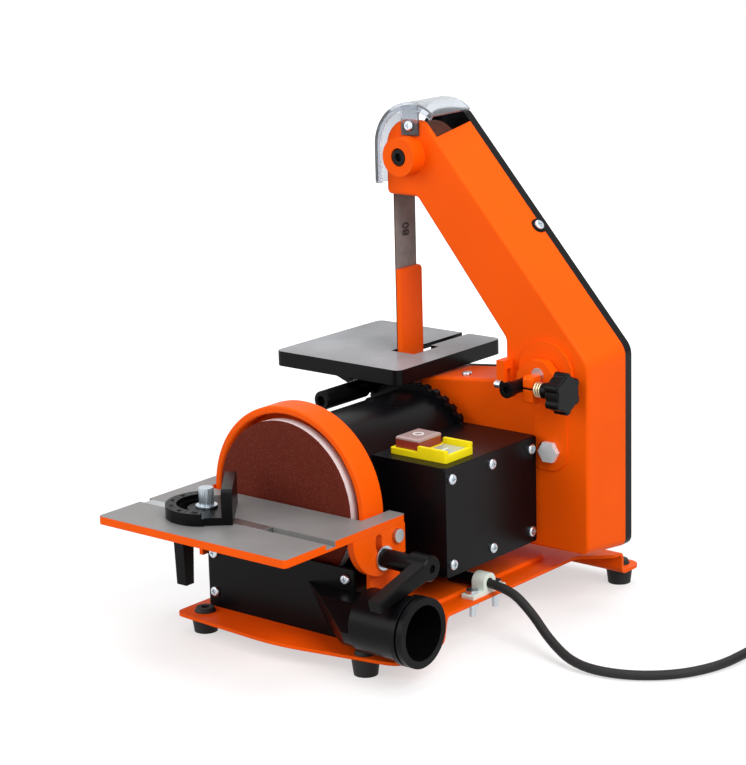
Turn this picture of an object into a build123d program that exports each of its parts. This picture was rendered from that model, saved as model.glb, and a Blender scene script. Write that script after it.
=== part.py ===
"""Bench belt and disc sander: a 25 mm belt over three wheels and a 125 mm disc on one motor.

Drawn with the motor axis at X = 0, running along Y, and the floor at Z = 0. The disc end looks to -Y, the
belt housing stands at +Y, and the switch box is on the +X side. Every piece is moved by ORIGIN when it is
written, so that the finished model has its origin on the floor, in the middle of its box.
"""
import os
from math import acos, atan2, cos, degrees, hypot, pi, radians, sin, sqrt, tan

from build123d import *

# Clearances
FIT = 0.05              # round piece in its hole, each side
RUN = 0.3               # gap between faces that move past each other
SEAT = 0.6              # wider gap under a swinging plate

# Feet and base plate
FOOT_H = 13.0
FOOT_R = 10.5
FOOT_TOE_R = 8.8
FOOT_NECK_R = 5.0
FOOT_LIP_R = 8.2
FOOT_LIP_H = 3.2
FOOT_BORE_R = 3.25
FRONT_FEET_X = (-65.0, 91.0)
FRONT_FEET_Y = -119.0
REAR_FEET_X = (-65.0, 125.0)
REAR_FEET_Y = 153.0
SHEET_T = 2.5
BEND_R = 3.0
DECK_RISE = 16.0
PANEL_RISE = 2.5
BASE_FRONT_Y = -134.0
BASE_BOW = 7.0
BASE_SWEEP = 12.0
RISER_Y = -64.0
RISER_RUN = 8.0
REAR_WALL_Y = 138.0
BASE_BACK_Y = 164.0
EAR_LEFT_X = -82.0
EAR_RIGHT_X = 129.0
EAR_DEPTH = 46.0
EAR_R = 20.0
EAR_TIP_R = 8.0
DECK_LEFT_X = -64.0
DECK_RIGHT_X = 116.0
REAR_RIGHT_X = 139.0
PANEL_MARGIN = 18.0

# Motor
AXIS_Z = 105.0
SHAFT_R = 7.5
MOTOR_R = 54.0
SHELL_T = 3.0
SHELL_Y = (-60.0, 52.0)
BELL_FRONT_Y = -73.0
FLANGE_R = 61.0
FLANGE_T = 5.0
FIN_COUNT = 40
FIN_DEPTH = 2.5
BOSS_R = 49.0
BEARING_R = 16.0
BEARING_W = 8.0
STATOR_BORE_R = 32.0
CORE_Y = (-40.0, 34.0)
AIR_GAP = 0.6
CRADLE_Y = (-42.0, 36.0)
CRADLE_W = 10.0
CRADLE_X = 42.0
CRADLE_BASE = 4.0

# Sanding disc, its guard and the dust shroud
DISC_R = 62.5
DISC_FACE_Y = -98.5
ABRASIVE_T = 1.2
DISC_T = 9.0
DISC_HUB_R = 18.0
DISC_HUB_L = 10.0
GUARD_GAP = 4.5
GUARD_T = 5.5
GUARD_FRONT_Y = -94.5
GUARD_BACK_T = 3.0
GUARD_FOOT_Z = 86.0
SHROUD_T = 3.0
SHROUD_FRONT_Y = -107.0
SHROUD_LIP_Z = 70.0
SHROUD_BORE_R = 22.0
PORT_R = 25.4
PORT_BODY_R = 23.0
PORT_Y = -121.3
PORT_Z = 42.6
PORT_GAP = 7.0
PORT_L = 49.0
PORT_RIM_W = 4.5
SCOOP_EDGE = ((30.0, 51.0), (52.0, 14.0))
SCOOP_RIDGE = (64.0, -130.0, 49.0)
SCOOP_R = 21.5
SCOOP_TOP_Z = 54.0
SCOOP_FLAT_Y = -126.0
SCOOP_GAP = 1.5
SCOOP_MOUTH_H = 14.0

# Disc table and its tilting mount
TABLE_Y = (-200.0, -69.0)
TABLE_TOP_Z = 106.1
TABLE_T = 6.0
TABLE_CORNER_R = 3.0
NOTCH_GAP = 2.4
DISC_GAP = 2.0
MITRE_SLOT_Y = -152.0
MITRE_SLOT_W = 10.0
MITRE_SLOT_D = 4.0
TILT_Y = -80.0
TILT_Z = 93.0
TILT_PIN_R = 3.0
TRUNNION_T = 5.5
TRUNNION_R = 33.0
TRUNNION_Y = -95.0
BRACKET_GAP = 7.9
BRACKET_T = 3.5
BRACKET_EAR_R = 6.5
BRACKET_FRONT_Y = -103.0
BRACKET_FOOT_Z = 52.0
BRACKET_TAB_GAP = 8.0
LOCK_Y = -95.0
LOCK_Z = 80.0
STUD_R = 3.0
TABLE_TILT = 45.0
WASHER_R = 9.0
WASHER_T = 1.5
LEVER_HUB_R = 7.0
LEVER_HEAD_R = 9.5
LEVER_HEAD_L = 17.0
LEVER_HUB_L = (22.0, 42.0)
LEVER_ARM_L = 54.0
LEVER_WALL = 4.0
LEVER_SOCKET = 2.0
LEVER_ARM_T = 11.0
LEVER_ARM_W = (14.0, 8.5)
LEVER_TURN = (-90.0, -167.0)

# Mitre gauge
MITRE_X = -27.0
BAR_LENGTH = 118.0
HEAD_R = 30.0
HEAD_T = 5.5
FENCE_HALF = 28.0
FENCE_T = 8.0
FENCE_X = 12.5
FENCE_H = 25.0
HEAD_TURN = 39.0
SCALE_START = 2.0
SCALE_H = 3.5
SCALE_W = 8.0
SCALE_MARKS = 18
HEAD_SLOT = (120.0, 240.0)
KNOB_R = 5.5
KNOB_H = 9.0
KNOB_WASHER_R = 8.0
KNURLS = 20
KNURL_R = 0.5

# Switch box
BOX_X = (44.7, 112.7)
BOX_Y = (-50.8, 59.7)
BOX_Z = (56.3, 138.6)
BOX_T = 2.0
BOX_SCREW_Y = (-44.0, 4.0, 53.0)
BOX_SCREW_INSET = 9.0
BOX_SCREW_L = 9.0
BOX_POST_L = 10.0
SWITCH_X = (53.0, 105.0)
SWITCH_Y = (-40.0, -7.0)
SWITCH_H = 9.0
SWITCH_END_H = 5.5
SWITCH_T = 3.0
BUTTON_GAP = 0.25
STOP_H = 13.0
START_H = 5.0

# Belt and its wheels
BELT_W = 25.4
BELT_T = 1.0
BELT_LENGTH = 762.0
BELT_Y = 73.0
DRIVE_R = 28.5
UPPER_R = 21.5
REAR_R = 22.0
REAR_X = 122.6
REAR_Z = 126.5
WHEEL_W = 26.0
WHEEL_BEARING_R = 11.0
AXLE_R = 5.0
AXLE_COLLAR_R = 8.0
AXLE_HEAD_R = 6.0
AXLE_NUT_T = 4.0
AXLE_HEAD_L = 5.0

# Belt housing
HOUSING_Y = (65.4, 110.0)
WALL = 3.0
DRAFT = 3.5
COVER_DEPTH = 10.0
COVER_T = 2.5
THROAT = 110.0
COLUMN_W = 74.4
HOUSING_FOOT_Z = 49.6
HEAD_LEFT_X = -30.2
HEAD_DROP = 31.6
HEAD_RISE = 26.9
ARM_TOP_X = 6.7
ARM_FOOT_Z = 197.5
INNER_TOP_X = -1.0
INNER_FOOT_Z = 207.6
LOWER_LEFT_X = -52.0
LOWER_RISE = 10.0
AXLE_BOSS_R = 15.0
AXLE_BOSS_L = 14.0
BOSS_STEP = 3.0
PIVOT_BOSS_R = 24.0
PAD_R = 15.0
PAD_STEP = 1.0
EAR_TAB_R = 6.0
EAR_SET = 3.0
EAR_RISE = 0.4
EAR_SHARE = 0.487

# Belt tension and tracking
ARM_PIVOT_X = 119.5
ARM_PIVOT_Z = 187.0
ARM_PIVOT_R = 5.5
ARM_T = 3.0
ARM_SWING = 6.0
BLOCK_X = (113.5, 122.5)
BLOCK_Y = (43.0, 61.8)
BLOCK_Z = (167.0, 187.5)
BLOCK_BACK_X = (100.5, 134.5)
BLOCK_BACK_Y = 53.0
ROD_X = 107.0
ROD_Z = 178.5
ROD_R = 5.0
ROD_L = 31.0
ROD_CAP_R = 6.0
PIN_STOP_R = 2.0
PIN_STOP_L = 18.0
LUG_W = 7.0
LUG_L = 12.0
KNOB_Y = 46.0
KNOB_Z = 178.5
STAR_R = 16.0
STAR_T = 11.0
STAR_NECK_L = 7.0
STAR_LOBES = 6
STAR_STEM_R = 6.0
STAR_STEM_L = 19.0
SPRING_R = 5.0
SPRING_WIRE_R = 0.8
SPRING_L = 8.0
SPRING_TURNS = 3

# Platen and clear hood
PLATEN_T = 4.5
PLATEN_W = 26.5
PLATEN_Z = (140.0, 247.5)
PLATEN_FOOT_H = 20.0
HOOD_R = 35.0
HOOD_T = 2.0
HOOD_RIM = 5.5
HOOD_RISE = 6.4
HOOD_DROP = 22.6
HOOD_Y = (58.0, 104.0)
HOOD_END = 50.0
HOOD_TAB_W = 16.0

# Belt table
BELT_TABLE_X = (-111.0, 14.0)
BELT_TABLE_Y = (20.3, 151.3)
BELT_TABLE_RISE = 16.5
BELT_TABLE_T = 4.0
SKIRT_D = 12.0
SKIRT_T = 3.5
SKIRT_R = 6.0
OPENING_X = (-33.5, -10.5)
OPENING_Y_GAP = 3.0
BELT_SLOT_W = 7.0
HINGE_X = -36.0
HINGE_DROP = 9.0
HINGE_R = 2.5
HINGE_EAR_R = 4.4
PLATE_T = 3.5
PLATE_Y = 59.0
PLATE_L = 62.0
PLATE_D = 31.0
PLATE_RIB = 6.0
ROD_LOCK_X = -44.0
ROD_LOCK_GAP = 0.8573
ROD_LOCK_R = 7.5
ROD_NECK_R = 5.5
ROD_NECK_L = 12.0
ROD_LOCK_L = 62.0
BELT_TABLE_TILT = 30.0

# Screws
SCREW_R = 2.0
SCREW_HEAD_R = 4.0
SCREW_HEAD_H = 2.4

# Power lead
CORD_R = 3.5
CORD_Z = 40.0
GLAND_X = 80.0
RELIEF_L = 22.0
RELIEF_R = (5.6, 4.3)
GLAND_Y = -2.0
GLAND_R = 8.0
CLAMP_X = (103.0, 114.0)
CLAMP_HALF_Y = 20.0
CLAMP_T = 3.5
CLAMP_SCREW_Y = 14.0
CLAMP_SCREW_R = 2.4
CLAMP_SCREW_END = 12.0
CLAMP_NUT_H = 4.0
COIL_LEFT_X = 295.0
COIL_Y = 107.0
COIL_R = 45.6
COIL_PITCH = 7.6
COIL_LAYER_TURNS = 3
COIL_TAIL = 27.0
TIE_T = 1.2
TIE_W = 9.0
TIE_MARGIN = 2.0
PLUG_R = 12.0
PLUG_L = 42.0
PLUG_RELIEF_L = 22.0
PIN_R = 2.4
PIN_L = 19.0
PIN_SPACING = 19.0

# Places worked out from the sizes above
FLANGE_TOP = FOOT_H + SHEET_T
DECK_TOP = FLANGE_TOP + DECK_RISE
PANEL_TOP = DECK_TOP + PANEL_RISE
LOWER_TOP_Z = (AXIS_Z + FLANGE_R, AXIS_Z + FLANGE_R + LOWER_RISE)
BELT_TABLE_Z = AXIS_Z + FLANGE_R + BELT_TABLE_RISE
HINGE_Z = BELT_TABLE_Z - HINGE_DROP
ROD_REACH = max(FLANGE_R + ROD_NECK_R, MOTOR_R + ROD_LOCK_R) + ROD_LOCK_GAP
ROD_LOCK_Z = AXIS_Z + sqrt(ROD_REACH**2 - ROD_LOCK_X**2)
BELT_X = -DRIVE_R
UPPER_X = BELT_X + UPPER_R
COLUMN_X = (BELT_X + THROAT, BELT_X + THROAT + COLUMN_W)
COVER_Y = HOUSING_Y[1] + COVER_DEPTH
WHEEL_Y = BELT_Y + BELT_W / 2 - WHEEL_W / 2
AXLE_END_Y = WHEEL_Y + WHEEL_W + 5
GUARD_R = DISC_R + GUARD_GAP + GUARD_T
BRACKET_X = GUARD_R + BRACKET_GAP
BRACKET_TAB_X = MOTOR_R + BRACKET_TAB_GAP
TRUNNION_X = BRACKET_X + BRACKET_T + SEAT
TABLE_HALF_X = TRUNNION_X + TRUNNION_T
NOTCH_HALF_X = GUARD_R + NOTCH_GAP
PORT_X = (TABLE_HALF_X + PORT_GAP, TABLE_HALF_X + PORT_GAP + PORT_L)
WASHER_X = TABLE_HALF_X + RUN
LEVER_X = WASHER_X + WASHER_T + RUN
STAR_X = BLOCK_X[1] + STAR_STEM_L
LEFT_REACH = -(LEVER_X + LEVER_HUB_L[0])
RIGHT_REACH = COLUMN_X[1] + DRAFT
ORIGIN = Vector((LEFT_REACH + RIGHT_REACH) / 2, (TABLE_Y[0] + BASE_BACK_Y) / 2, 0)

# The route of the lead from its gland to the coil, chosen point by point
CORD_POINTS = [
    (GLAND_X + RELIEF_L, GLAND_Y, CORD_Z),
    (130, GLAND_Y, CORD_Z),
    (155, -7, 27.5),
    (180, -18, 13),
    (210, -30, 5),
    (245, -26, 4),
    (276, -4, 4),
    (292, 30, 4),
    (COIL_LEFT_X, 66, CORD_R + TIE_T + RUN),
    (COIL_LEFT_X, COIL_Y - 2 * CORD_R, CORD_R + TIE_T + RUN),
]


def on_xz(sketch, y0, y1):
    """Solid from a sketch in X and Z, between two values of Y."""
    plane = Plane((0, y0, 0), x_dir=(1, 0, 0), z_dir=(0, -1, 0))
    return extrude(plane * sketch, y1 - y0, dir=(0, 1, 0))


def on_yz(sketch, x0, x1):
    """Solid from a sketch in Y and Z, between two values of X."""
    plane = Plane((x0, 0, 0), x_dir=(0, 1, 0), z_dir=(1, 0, 0))
    return extrude(plane * sketch, x1 - x0, dir=(1, 0, 0))


def on_xy(sketch, z0, z1):
    """Solid from a sketch in X and Y, between two values of Z."""
    return extrude(Plane((0, 0, z0)) * sketch, z1 - z0, dir=(0, 0, 1))


def round_at(u, v, radius):
    return Pos(u, v) * Circle(radius)


def rect(u0, u1, v0, v1):
    return Pos((u0 + u1) / 2, (v0 + v1) / 2) * Rectangle(u1 - u0, v1 - v0)


def cone_x(y, z, start, end):
    """Cone along X between two places, each given as (x, radius)."""
    ends = [Plane((x, y, z), x_dir=(0, 1, 0), z_dir=(1, 0, 0)) * Circle(radius) for x, radius in (start, end)]
    return loft(ends)


def ring_at(u, v, outer, inner):
    return round_at(u, v, outer) - round_at(u, v, inner)


def block(x, y, z):
    """Box between two corners, each pair given low to high."""
    return on_xy(rect(x[0], x[1], y[0], y[1]), z[0], z[1])


def group(shapes):
    """Several pieces as one node."""
    return Compound([solid for shape in shapes for solid in shape.solids()])


def outline(*corners):
    """Face through corners given as (u, v, radius)."""
    points = [(u, v) for u, v, _ in corners]
    return make_face(FilletPolyline(*points, radius=[r for _, _, r in corners], close=True).edges())


def polygon(*points):
    return make_face(Polyline(*points, close=True).edges())


def hexagon(u, v, flats):
    return Pos(u, v) * RegularPolygon(flats / 2, 6, major_radius=False)


def arc_slot(u, v, radius, start, end, half_width):
    """Round-ended slot along an arc about (u, v), with angles in degrees."""
    middle = (start + end) / 2
    spoke = [(u + radius * cos(radians(a)), v + radius * sin(radians(a))) for a in (start, middle, end)]
    path = ThreePointArc(*spoke)
    return make_face(offset(path, half_width, kind=Kind.ARC).edges())


def screw(at, direction, shank):
    """Pan-head screw seated at a point, its head towards direction and its shank behind."""
    plane = Plane(at, z_dir=direction)
    head = extrude(plane * Circle(SCREW_HEAD_R), SCREW_HEAD_H)
    head = fillet(head.edges().sort_by(Axis(at, direction))[-1], SCREW_HEAD_H * 0.6)
    cross = Rectangle(SCREW_HEAD_R, SCREW_HEAD_R / 4) + Rectangle(SCREW_HEAD_R / 4, SCREW_HEAD_R)
    head -= extrude(plane.offset(SCREW_HEAD_H / 2) * cross, SCREW_HEAD_H)
    return head + extrude(plane * Circle(SCREW_R), -shank)


def screw_hole(at, direction, depth):
    plane = Plane(at, z_dir=direction)
    return extrude(plane * Circle(SCREW_R + FIT), -depth, both=True)


def bent_sheet(points, thickness, bend):
    """Section of a bent sheet whose upper face follows the points."""
    steps = [(b[0] - a[0], b[1] - a[1]) for a, b in zip(points, points[1:])]
    normals = [(dy / hypot(dx, dy), -dx / hypot(dx, dy)) for dx, dy in steps]
    lower = [(points[0][0] + thickness * normals[0][0], points[0][1] + thickness * normals[0][1])]
    upper_radii = []
    lower_radii = []
    for corner, before, after in zip(points[1:-1], normals, normals[1:]):
        share = thickness / (1 + before[0] * after[0] + before[1] * after[1])
        lower.append((corner[0] + share * (before[0] + after[0]), corner[1] + share * (before[1] + after[1])))
        right_turn = before[0] * after[1] - before[1] * after[0] < 0
        upper_radii.append(bend + thickness if right_turn else bend)
        lower_radii.append(bend if right_turn else bend + thickness)
    last = points[-1]
    lower.append((last[0] + thickness * normals[-1][0], last[1] + thickness * normals[-1][1]))
    top = FilletPolyline(*points, radius=upper_radii)
    under = FilletPolyline(*lower, radius=lower_radii)
    ends = [Line(top @ 0, under @ 0), Line(top @ 1, under @ 1)]
    return make_face(top.edges() + under.edges() + [edge for line in ends for edge in line.edges()])


def save(name, shape):
    """Write one piece, or one group of like pieces, in the finished frame."""
    export_step(Pos(-ORIGIN) * shape, f"parts/{name}.step")


def wheel_loop(upper_z, extra):
    """Tangent loop round the three wheels: its length, with the belt's line extra outside their rims."""
    wheels = [(0, AXIS_Z, DRIVE_R), (UPPER_X, upper_z, UPPER_R), (REAR_X, REAR_Z, REAR_R)]
    length = 0
    turns = []
    for (x0, z0, r0), (x1, z1, r1) in zip(wheels, wheels[1:] + wheels[:1]):
        span = hypot(x1 - x0, z1 - z0)
        length += (span ** 2 - (r1 - r0) ** 2) ** 0.5
        turns.append(atan2(z1 - z0, x1 - x0) + acos((r0 - r1) / span))
    for (_, _, radius), before, after in zip(wheels, turns[-1:] + turns[:-1], turns):
        length += (radius + extra) * ((before - after) % (2 * pi))
    return length


def upper_wheel_z():
    """Height of the upper wheel that makes the belt's middle line its stated length."""
    low, high = REAR_Z, REAR_Z + BELT_LENGTH
    for _ in range(60):
        middle = (low + high) / 2
        if wheel_loop(middle, RUN + BELT_T / 2) < BELT_LENGTH:
            low = middle
        else:
            high = middle
    return (low + high) / 2


# The head and its hood go with the upper wheel
UPPER_Z = upper_wheel_z()
HEAD_TOP_Z = UPPER_Z + HEAD_RISE
HEAD_BOTTOM_Z = UPPER_Z - HEAD_DROP
HOOD_Z = UPPER_Z + HOOD_RISE
HOOD_FOOT_Z = UPPER_Z - HOOD_DROP


def belt_face(extra):
    """Face inside a loop that lies extra outside the three wheels."""
    circles = [
        round_at(0, AXIS_Z, DRIVE_R + extra),
        round_at(UPPER_X, UPPER_Z, UPPER_R + extra),
        round_at(REAR_X, REAR_Z, REAR_R + extra),
    ]
    return make_hull([edge for circle in circles for edge in circle.edges()])


def feet_places():
    front = [(x, FRONT_FEET_Y) for x in FRONT_FEET_X]
    return front + [(x, REAR_FEET_Y) for x in REAR_FEET_X]


def base_plate():
    """Stamped sheet: a raised deck between two flanges that stand on the feet."""
    section = bent_sheet(
        [
            (BASE_FRONT_Y - BASE_BOW, FLANGE_TOP),
            (RISER_Y, FLANGE_TOP),
            (RISER_Y + RISER_RUN, DECK_TOP),
            (REAR_WALL_Y, DECK_TOP),
            (REAR_WALL_Y, FLANGE_TOP),
            (BASE_BACK_Y, FLANGE_TOP),
        ],
        SHEET_T,
        BEND_R,
    )
    ear_back = BASE_FRONT_Y + EAR_DEPTH
    waist = RISER_Y + RISER_RUN
    rear_neck = REAR_WALL_Y - 4 * BEND_R
    plan = outline(
        (EAR_LEFT_X, BASE_FRONT_Y, EAR_TIP_R),
        ((EAR_LEFT_X + EAR_RIGHT_X) / 2, BASE_FRONT_Y - BASE_BOW, 4 * EAR_DEPTH),
        (EAR_RIGHT_X, BASE_FRONT_Y + BASE_SWEEP, EAR_R),
        (EAR_RIGHT_X, ear_back, EAR_R / 2),
        (DECK_RIGHT_X, waist, EAR_R / 2),
        (DECK_RIGHT_X, rear_neck - EAR_R, EAR_R / 2),
        (REAR_RIGHT_X, rear_neck, EAR_R / 3),
        (REAR_RIGHT_X, BASE_BACK_Y, EAR_R / 2),
        (EAR_LEFT_X, BASE_BACK_Y, EAR_R / 2),
        (EAR_LEFT_X, rear_neck, EAR_R / 3),
        (DECK_LEFT_X, rear_neck - EAR_R, EAR_R / 2),
        (DECK_LEFT_X, waist, EAR_R / 2),
        (EAR_LEFT_X, ear_back, EAR_R / 2),
    )
    sheet = on_yz(section, EAR_LEFT_X, REAR_RIGHT_X) & on_xy(plan, 0, DECK_TOP + SHEET_T)
    panel = rect(
        DECK_LEFT_X + PANEL_MARGIN,
        DECK_RIGHT_X - PANEL_MARGIN,
        waist + PANEL_MARGIN / 2,
        rear_neck - EAR_R - PANEL_MARGIN / 2,
    )
    panel = fillet(panel.vertices(), EAR_R / 2)
    sheet += extrude(Plane((0, 0, DECK_TOP)) * panel, PANEL_RISE, taper=30)
    recess = offset(panel, -SHEET_T)
    sheet -= extrude(Plane((0, 0, DECK_TOP - SHEET_T)) * recess, PANEL_RISE, taper=30)
    for x, y in feet_places():
        sheet -= on_xy(round_at(x, y, FOOT_NECK_R + FIT), 0, DECK_TOP)
    for side in (-1, 1):
        place = round_at(sum(CLAMP_X) / 2, GLAND_Y + side * CLAMP_SCREW_Y, CLAMP_SCREW_R + FIT)
        sheet -= on_xy(place, 0, PANEL_TOP)
    return sheet


def rubber_feet():
    """Four feet that grip the sheet between a body below and a lip above, bored through for a bolt."""
    section = polygon(
        (FOOT_BORE_R, 0),
        (FOOT_TOE_R, 0),
        (FOOT_R, FOOT_H),
        (FOOT_NECK_R, FOOT_H),
        (FOOT_NECK_R, FLANGE_TOP),
        (FOOT_LIP_R, FLANGE_TOP),
        (FOOT_LIP_R - 1.5, FLANGE_TOP + FOOT_LIP_H),
        (FOOT_BORE_R, FLANGE_TOP + FOOT_LIP_H),
    )
    foot = revolve(Plane.XZ * section, Axis.Z)
    return group([Pos(x, y) * foot for x, y in feet_places()])


def motor_shell():
    return on_xz(ring_at(0, AXIS_Z, MOTOR_R, MOTOR_R - SHELL_T), *SHELL_Y)


def motor_front_bell():
    """End casting with a bearing pocket and a spigot inside the shell."""
    bell = on_xz(round_at(0, AXIS_Z, MOTOR_R), BELL_FRONT_Y, SHELL_Y[0])
    bell = fillet(bell.edges().group_by(Axis.Y)[0], SHELL_T)
    bell += on_xz(round_at(0, AXIS_Z, MOTOR_R - SHELL_T - FIT), SHELL_Y[0], SHELL_Y[0] + SHELL_T)
    bell -= on_xz(round_at(0, AXIS_Z, BEARING_R + FIT), SHELL_Y[0] - BEARING_W / 2, 0)
    return bell - on_xz(round_at(0, AXIS_Z, SHAFT_R + 1), BELL_FRONT_Y, 0)


def motor_rear_bell():
    """Finned flange behind the shell, with a boss that bolts to the belt housing."""
    y0 = SHELL_Y[1]
    flange = round_at(0, AXIS_Z, FLANGE_R)
    for i in range(FIN_COUNT):
        angle = radians(360 * i / FIN_COUNT)
        flange -= round_at(FLANGE_R * cos(angle), AXIS_Z + FLANGE_R * sin(angle), FIN_DEPTH)
    bell = on_xz(flange, y0, y0 + FLANGE_T)
    bell += on_xz(round_at(0, AXIS_Z, BOSS_R), y0 + FLANGE_T, HOUSING_Y[0])
    bell += on_xz(round_at(0, AXIS_Z, MOTOR_R - SHELL_T - FIT), y0 - SHELL_T, y0)
    bell -= on_xz(round_at(0, AXIS_Z, BEARING_R + FIT), y0 - SHELL_T, y0 + BEARING_W / 2)
    return bell - on_xz(round_at(0, AXIS_Z, SHAFT_R + 1), y0 - SHELL_T, HOUSING_Y[0])


def motor_bearings():
    ring = ring_at(0, AXIS_Z, BEARING_R, SHAFT_R + FIT)
    front_y = SHELL_Y[0] - BEARING_W / 2
    rear_y = SHELL_Y[1] - BEARING_W / 2
    return group([on_xz(ring, y, y + BEARING_W) for y in (front_y, rear_y)])


def stator():
    ring = ring_at(0, AXIS_Z, MOTOR_R - SHELL_T - FIT, STATOR_BORE_R)
    return on_xz(ring, *CORE_Y)


def rotor_core():
    return on_xz(ring_at(0, AXIS_Z, STATOR_BORE_R - AIR_GAP, SHAFT_R + FIT), *CORE_Y)


def rotor_shaft():
    """One shaft from the disc hub to the drive wheel, with its wheel nut at the belt end."""
    shaft = on_xz(round_at(0, AXIS_Z, SHAFT_R), DISC_FACE_Y + ABRASIVE_T + DISC_T, AXLE_END_Y)
    nut = hexagon(0, AXIS_Z, 4 * SHAFT_R - 6)
    return shaft + on_xz(nut, WHEEL_Y + WHEEL_W, AXLE_END_Y - 1)


def motor_mount():
    """Cradle on the deck: a foot plate and two webs cut to the motor's round."""
    mount = block((-CRADLE_X, CRADLE_X), CRADLE_Y, (PANEL_TOP, PANEL_TOP + CRADLE_BASE))
    web = polygon(
        (-CRADLE_X, PANEL_TOP),
        (CRADLE_X, PANEL_TOP),
        (CRADLE_X, AXIS_Z - MOTOR_R / 2),
        (-CRADLE_X, AXIS_Z - MOTOR_R / 2),
    )
    web -= round_at(0, AXIS_Z, MOTOR_R + FIT)
    for y in (CRADLE_Y[0], CRADLE_Y[1] - CRADLE_W):
        mount += on_xz(web, y, y + CRADLE_W)
    return mount


def sanding_disc():
    """Turned aluminium plate with a hub on the shaft."""
    y0 = DISC_FACE_Y + ABRASIVE_T
    disc = on_xz(round_at(0, AXIS_Z, DISC_R), y0, y0 + DISC_T)
    disc = chamfer(disc.edges().group_by(Axis.Y)[-1], 1)
    disc += on_xz(round_at(0, AXIS_Z, DISC_HUB_R), y0 + DISC_T, y0 + DISC_T + DISC_HUB_L)
    return disc - on_xz(round_at(0, AXIS_Z, SHAFT_R + FIT), y0 + DISC_T, y0 + DISC_T + DISC_HUB_L)


def abrasive_disc():
    return on_xz(round_at(0, AXIS_Z, DISC_R), DISC_FACE_Y, DISC_FACE_Y + ABRASIVE_T)


def guard_profile(radius):
    """Half-round on two straight legs."""
    return round_at(0, AXIS_Z, radius) - rect(-radius, radius, 0, AXIS_Z) + rect(
        -radius, radius, GUARD_FOOT_Z, AXIS_Z
    )


def disc_guard():
    """Cast hood over the upper half of the disc, open to the front and below."""
    back_y = BELL_FRONT_Y - GUARD_BACK_T
    guard = on_xz(guard_profile(GUARD_R), GUARD_FRONT_Y, BELL_FRONT_Y)
    inner = round_at(0, AXIS_Z, GUARD_R - GUARD_T) - rect(-GUARD_R, GUARD_R, 0, AXIS_Z)
    inner += rect(-GUARD_R + GUARD_T, GUARD_R - GUARD_T, 0, AXIS_Z)
    guard -= on_xz(inner, GUARD_FRONT_Y, back_y)
    guard -= on_xz(round_at(0, AXIS_Z, SHROUD_BORE_R), back_y, BELL_FRONT_Y)
    return fillet(guard.edges().filter_by(GeomType.CIRCLE).group_by(Axis.Y)[0], 1.5)


def scoop(shrink):
    """Duct along the shroud's front wall to the port, slanted at its left end and under the tilted table."""
    back = BRACKET_FRONT_Y - SCOOP_GAP
    low = SCOOP_TOP_Z - 2 * SCOOP_R
    front = SCOOP_FLAT_Y - 2 * SCOOP_R
    limits = polygon((back, low), (back, SCOOP_TOP_Z), (SCOOP_FLAT_Y, SCOOP_TOP_Z), (front, low))
    section = round_at(PORT_Y, PORT_Z, SCOOP_R) & limits
    if shrink:
        section = offset(section, -shrink)
    top, foot = (Vector(x, SHROUD_FRONT_Y, z) for x, z in SCOOP_EDGE)
    outwards = (foot - top).cross(Vector(SCOOP_RIDGE) - top).normalized()
    slant = Plane(top - outwards * shrink, z_dir=outwards)
    duct = on_yz(section, SCOOP_EDGE[0][0], PORT_X[0] + shrink)
    return duct - extrude(slant * Rectangle(3 * PORT_X[1], 3 * PORT_X[1]), PORT_X[1])


def dust_shroud():
    """Moulded box under the disc with a duct to a round port on its +X side."""
    back = BELL_FRONT_Y
    body = block((-GUARD_R, GUARD_R), (SHROUD_FRONT_Y, back), (FLANGE_TOP, GUARD_FOOT_Z))
    body = fillet(body.edges().filter_by(Axis.Z), 2.5)
    wall = SHROUD_T
    duct = scoop(0) + on_yz(round_at(PORT_Y, PORT_Z, PORT_BODY_R), *PORT_X)
    for x in (PORT_X[1] - PORT_RIM_W, PORT_X[1] - 2.4 * PORT_RIM_W):
        duct += on_yz(round_at(PORT_Y, PORT_Z, PORT_R), x, x + PORT_RIM_W)
    body += duct
    hollow = block(
        (-GUARD_R + wall, GUARD_R - wall),
        (SHROUD_FRONT_Y + wall, back - wall),
        (FLANGE_TOP + wall, GUARD_FOOT_Z),
    )
    body -= hollow
    body -= block((-GUARD_R, GUARD_R), (SHROUD_FRONT_Y, GUARD_FRONT_Y), (SHROUD_LIP_Z, GUARD_FOOT_Z))
    body -= scoop(wall)
    mouth_x = (SCOOP_EDGE[1][0], GUARD_R - wall)
    mouth_y = (SHROUD_FRONT_Y - wall, SHROUD_FRONT_Y + wall)
    body -= block(mouth_x, mouth_y, (PORT_Z - SCOOP_MOUTH_H, SCOOP_TOP_Z - wall))
    body -= on_yz(round_at(PORT_Y, PORT_Z, PORT_BODY_R - wall), PORT_X[0] + wall, PORT_X[1])
    body -= on_xz(round_at(0, AXIS_Z, SHROUD_BORE_R), back - wall, back)
    for at in shroud_screw_places():
        body -= screw_hole(at, (0, -1, 0), wall)
    return body


def shroud_screw_places():
    low = FLANGE_TOP + 3 * SCREW_HEAD_R
    high = SHROUD_LIP_Z - 3 * SCREW_HEAD_R
    side = GUARD_R - 2 * SCREW_HEAD_R
    return [(-side, SHROUD_FRONT_Y, low), (-side, SHROUD_FRONT_Y, high), (side, SHROUD_FRONT_Y, high + 4)]


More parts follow.
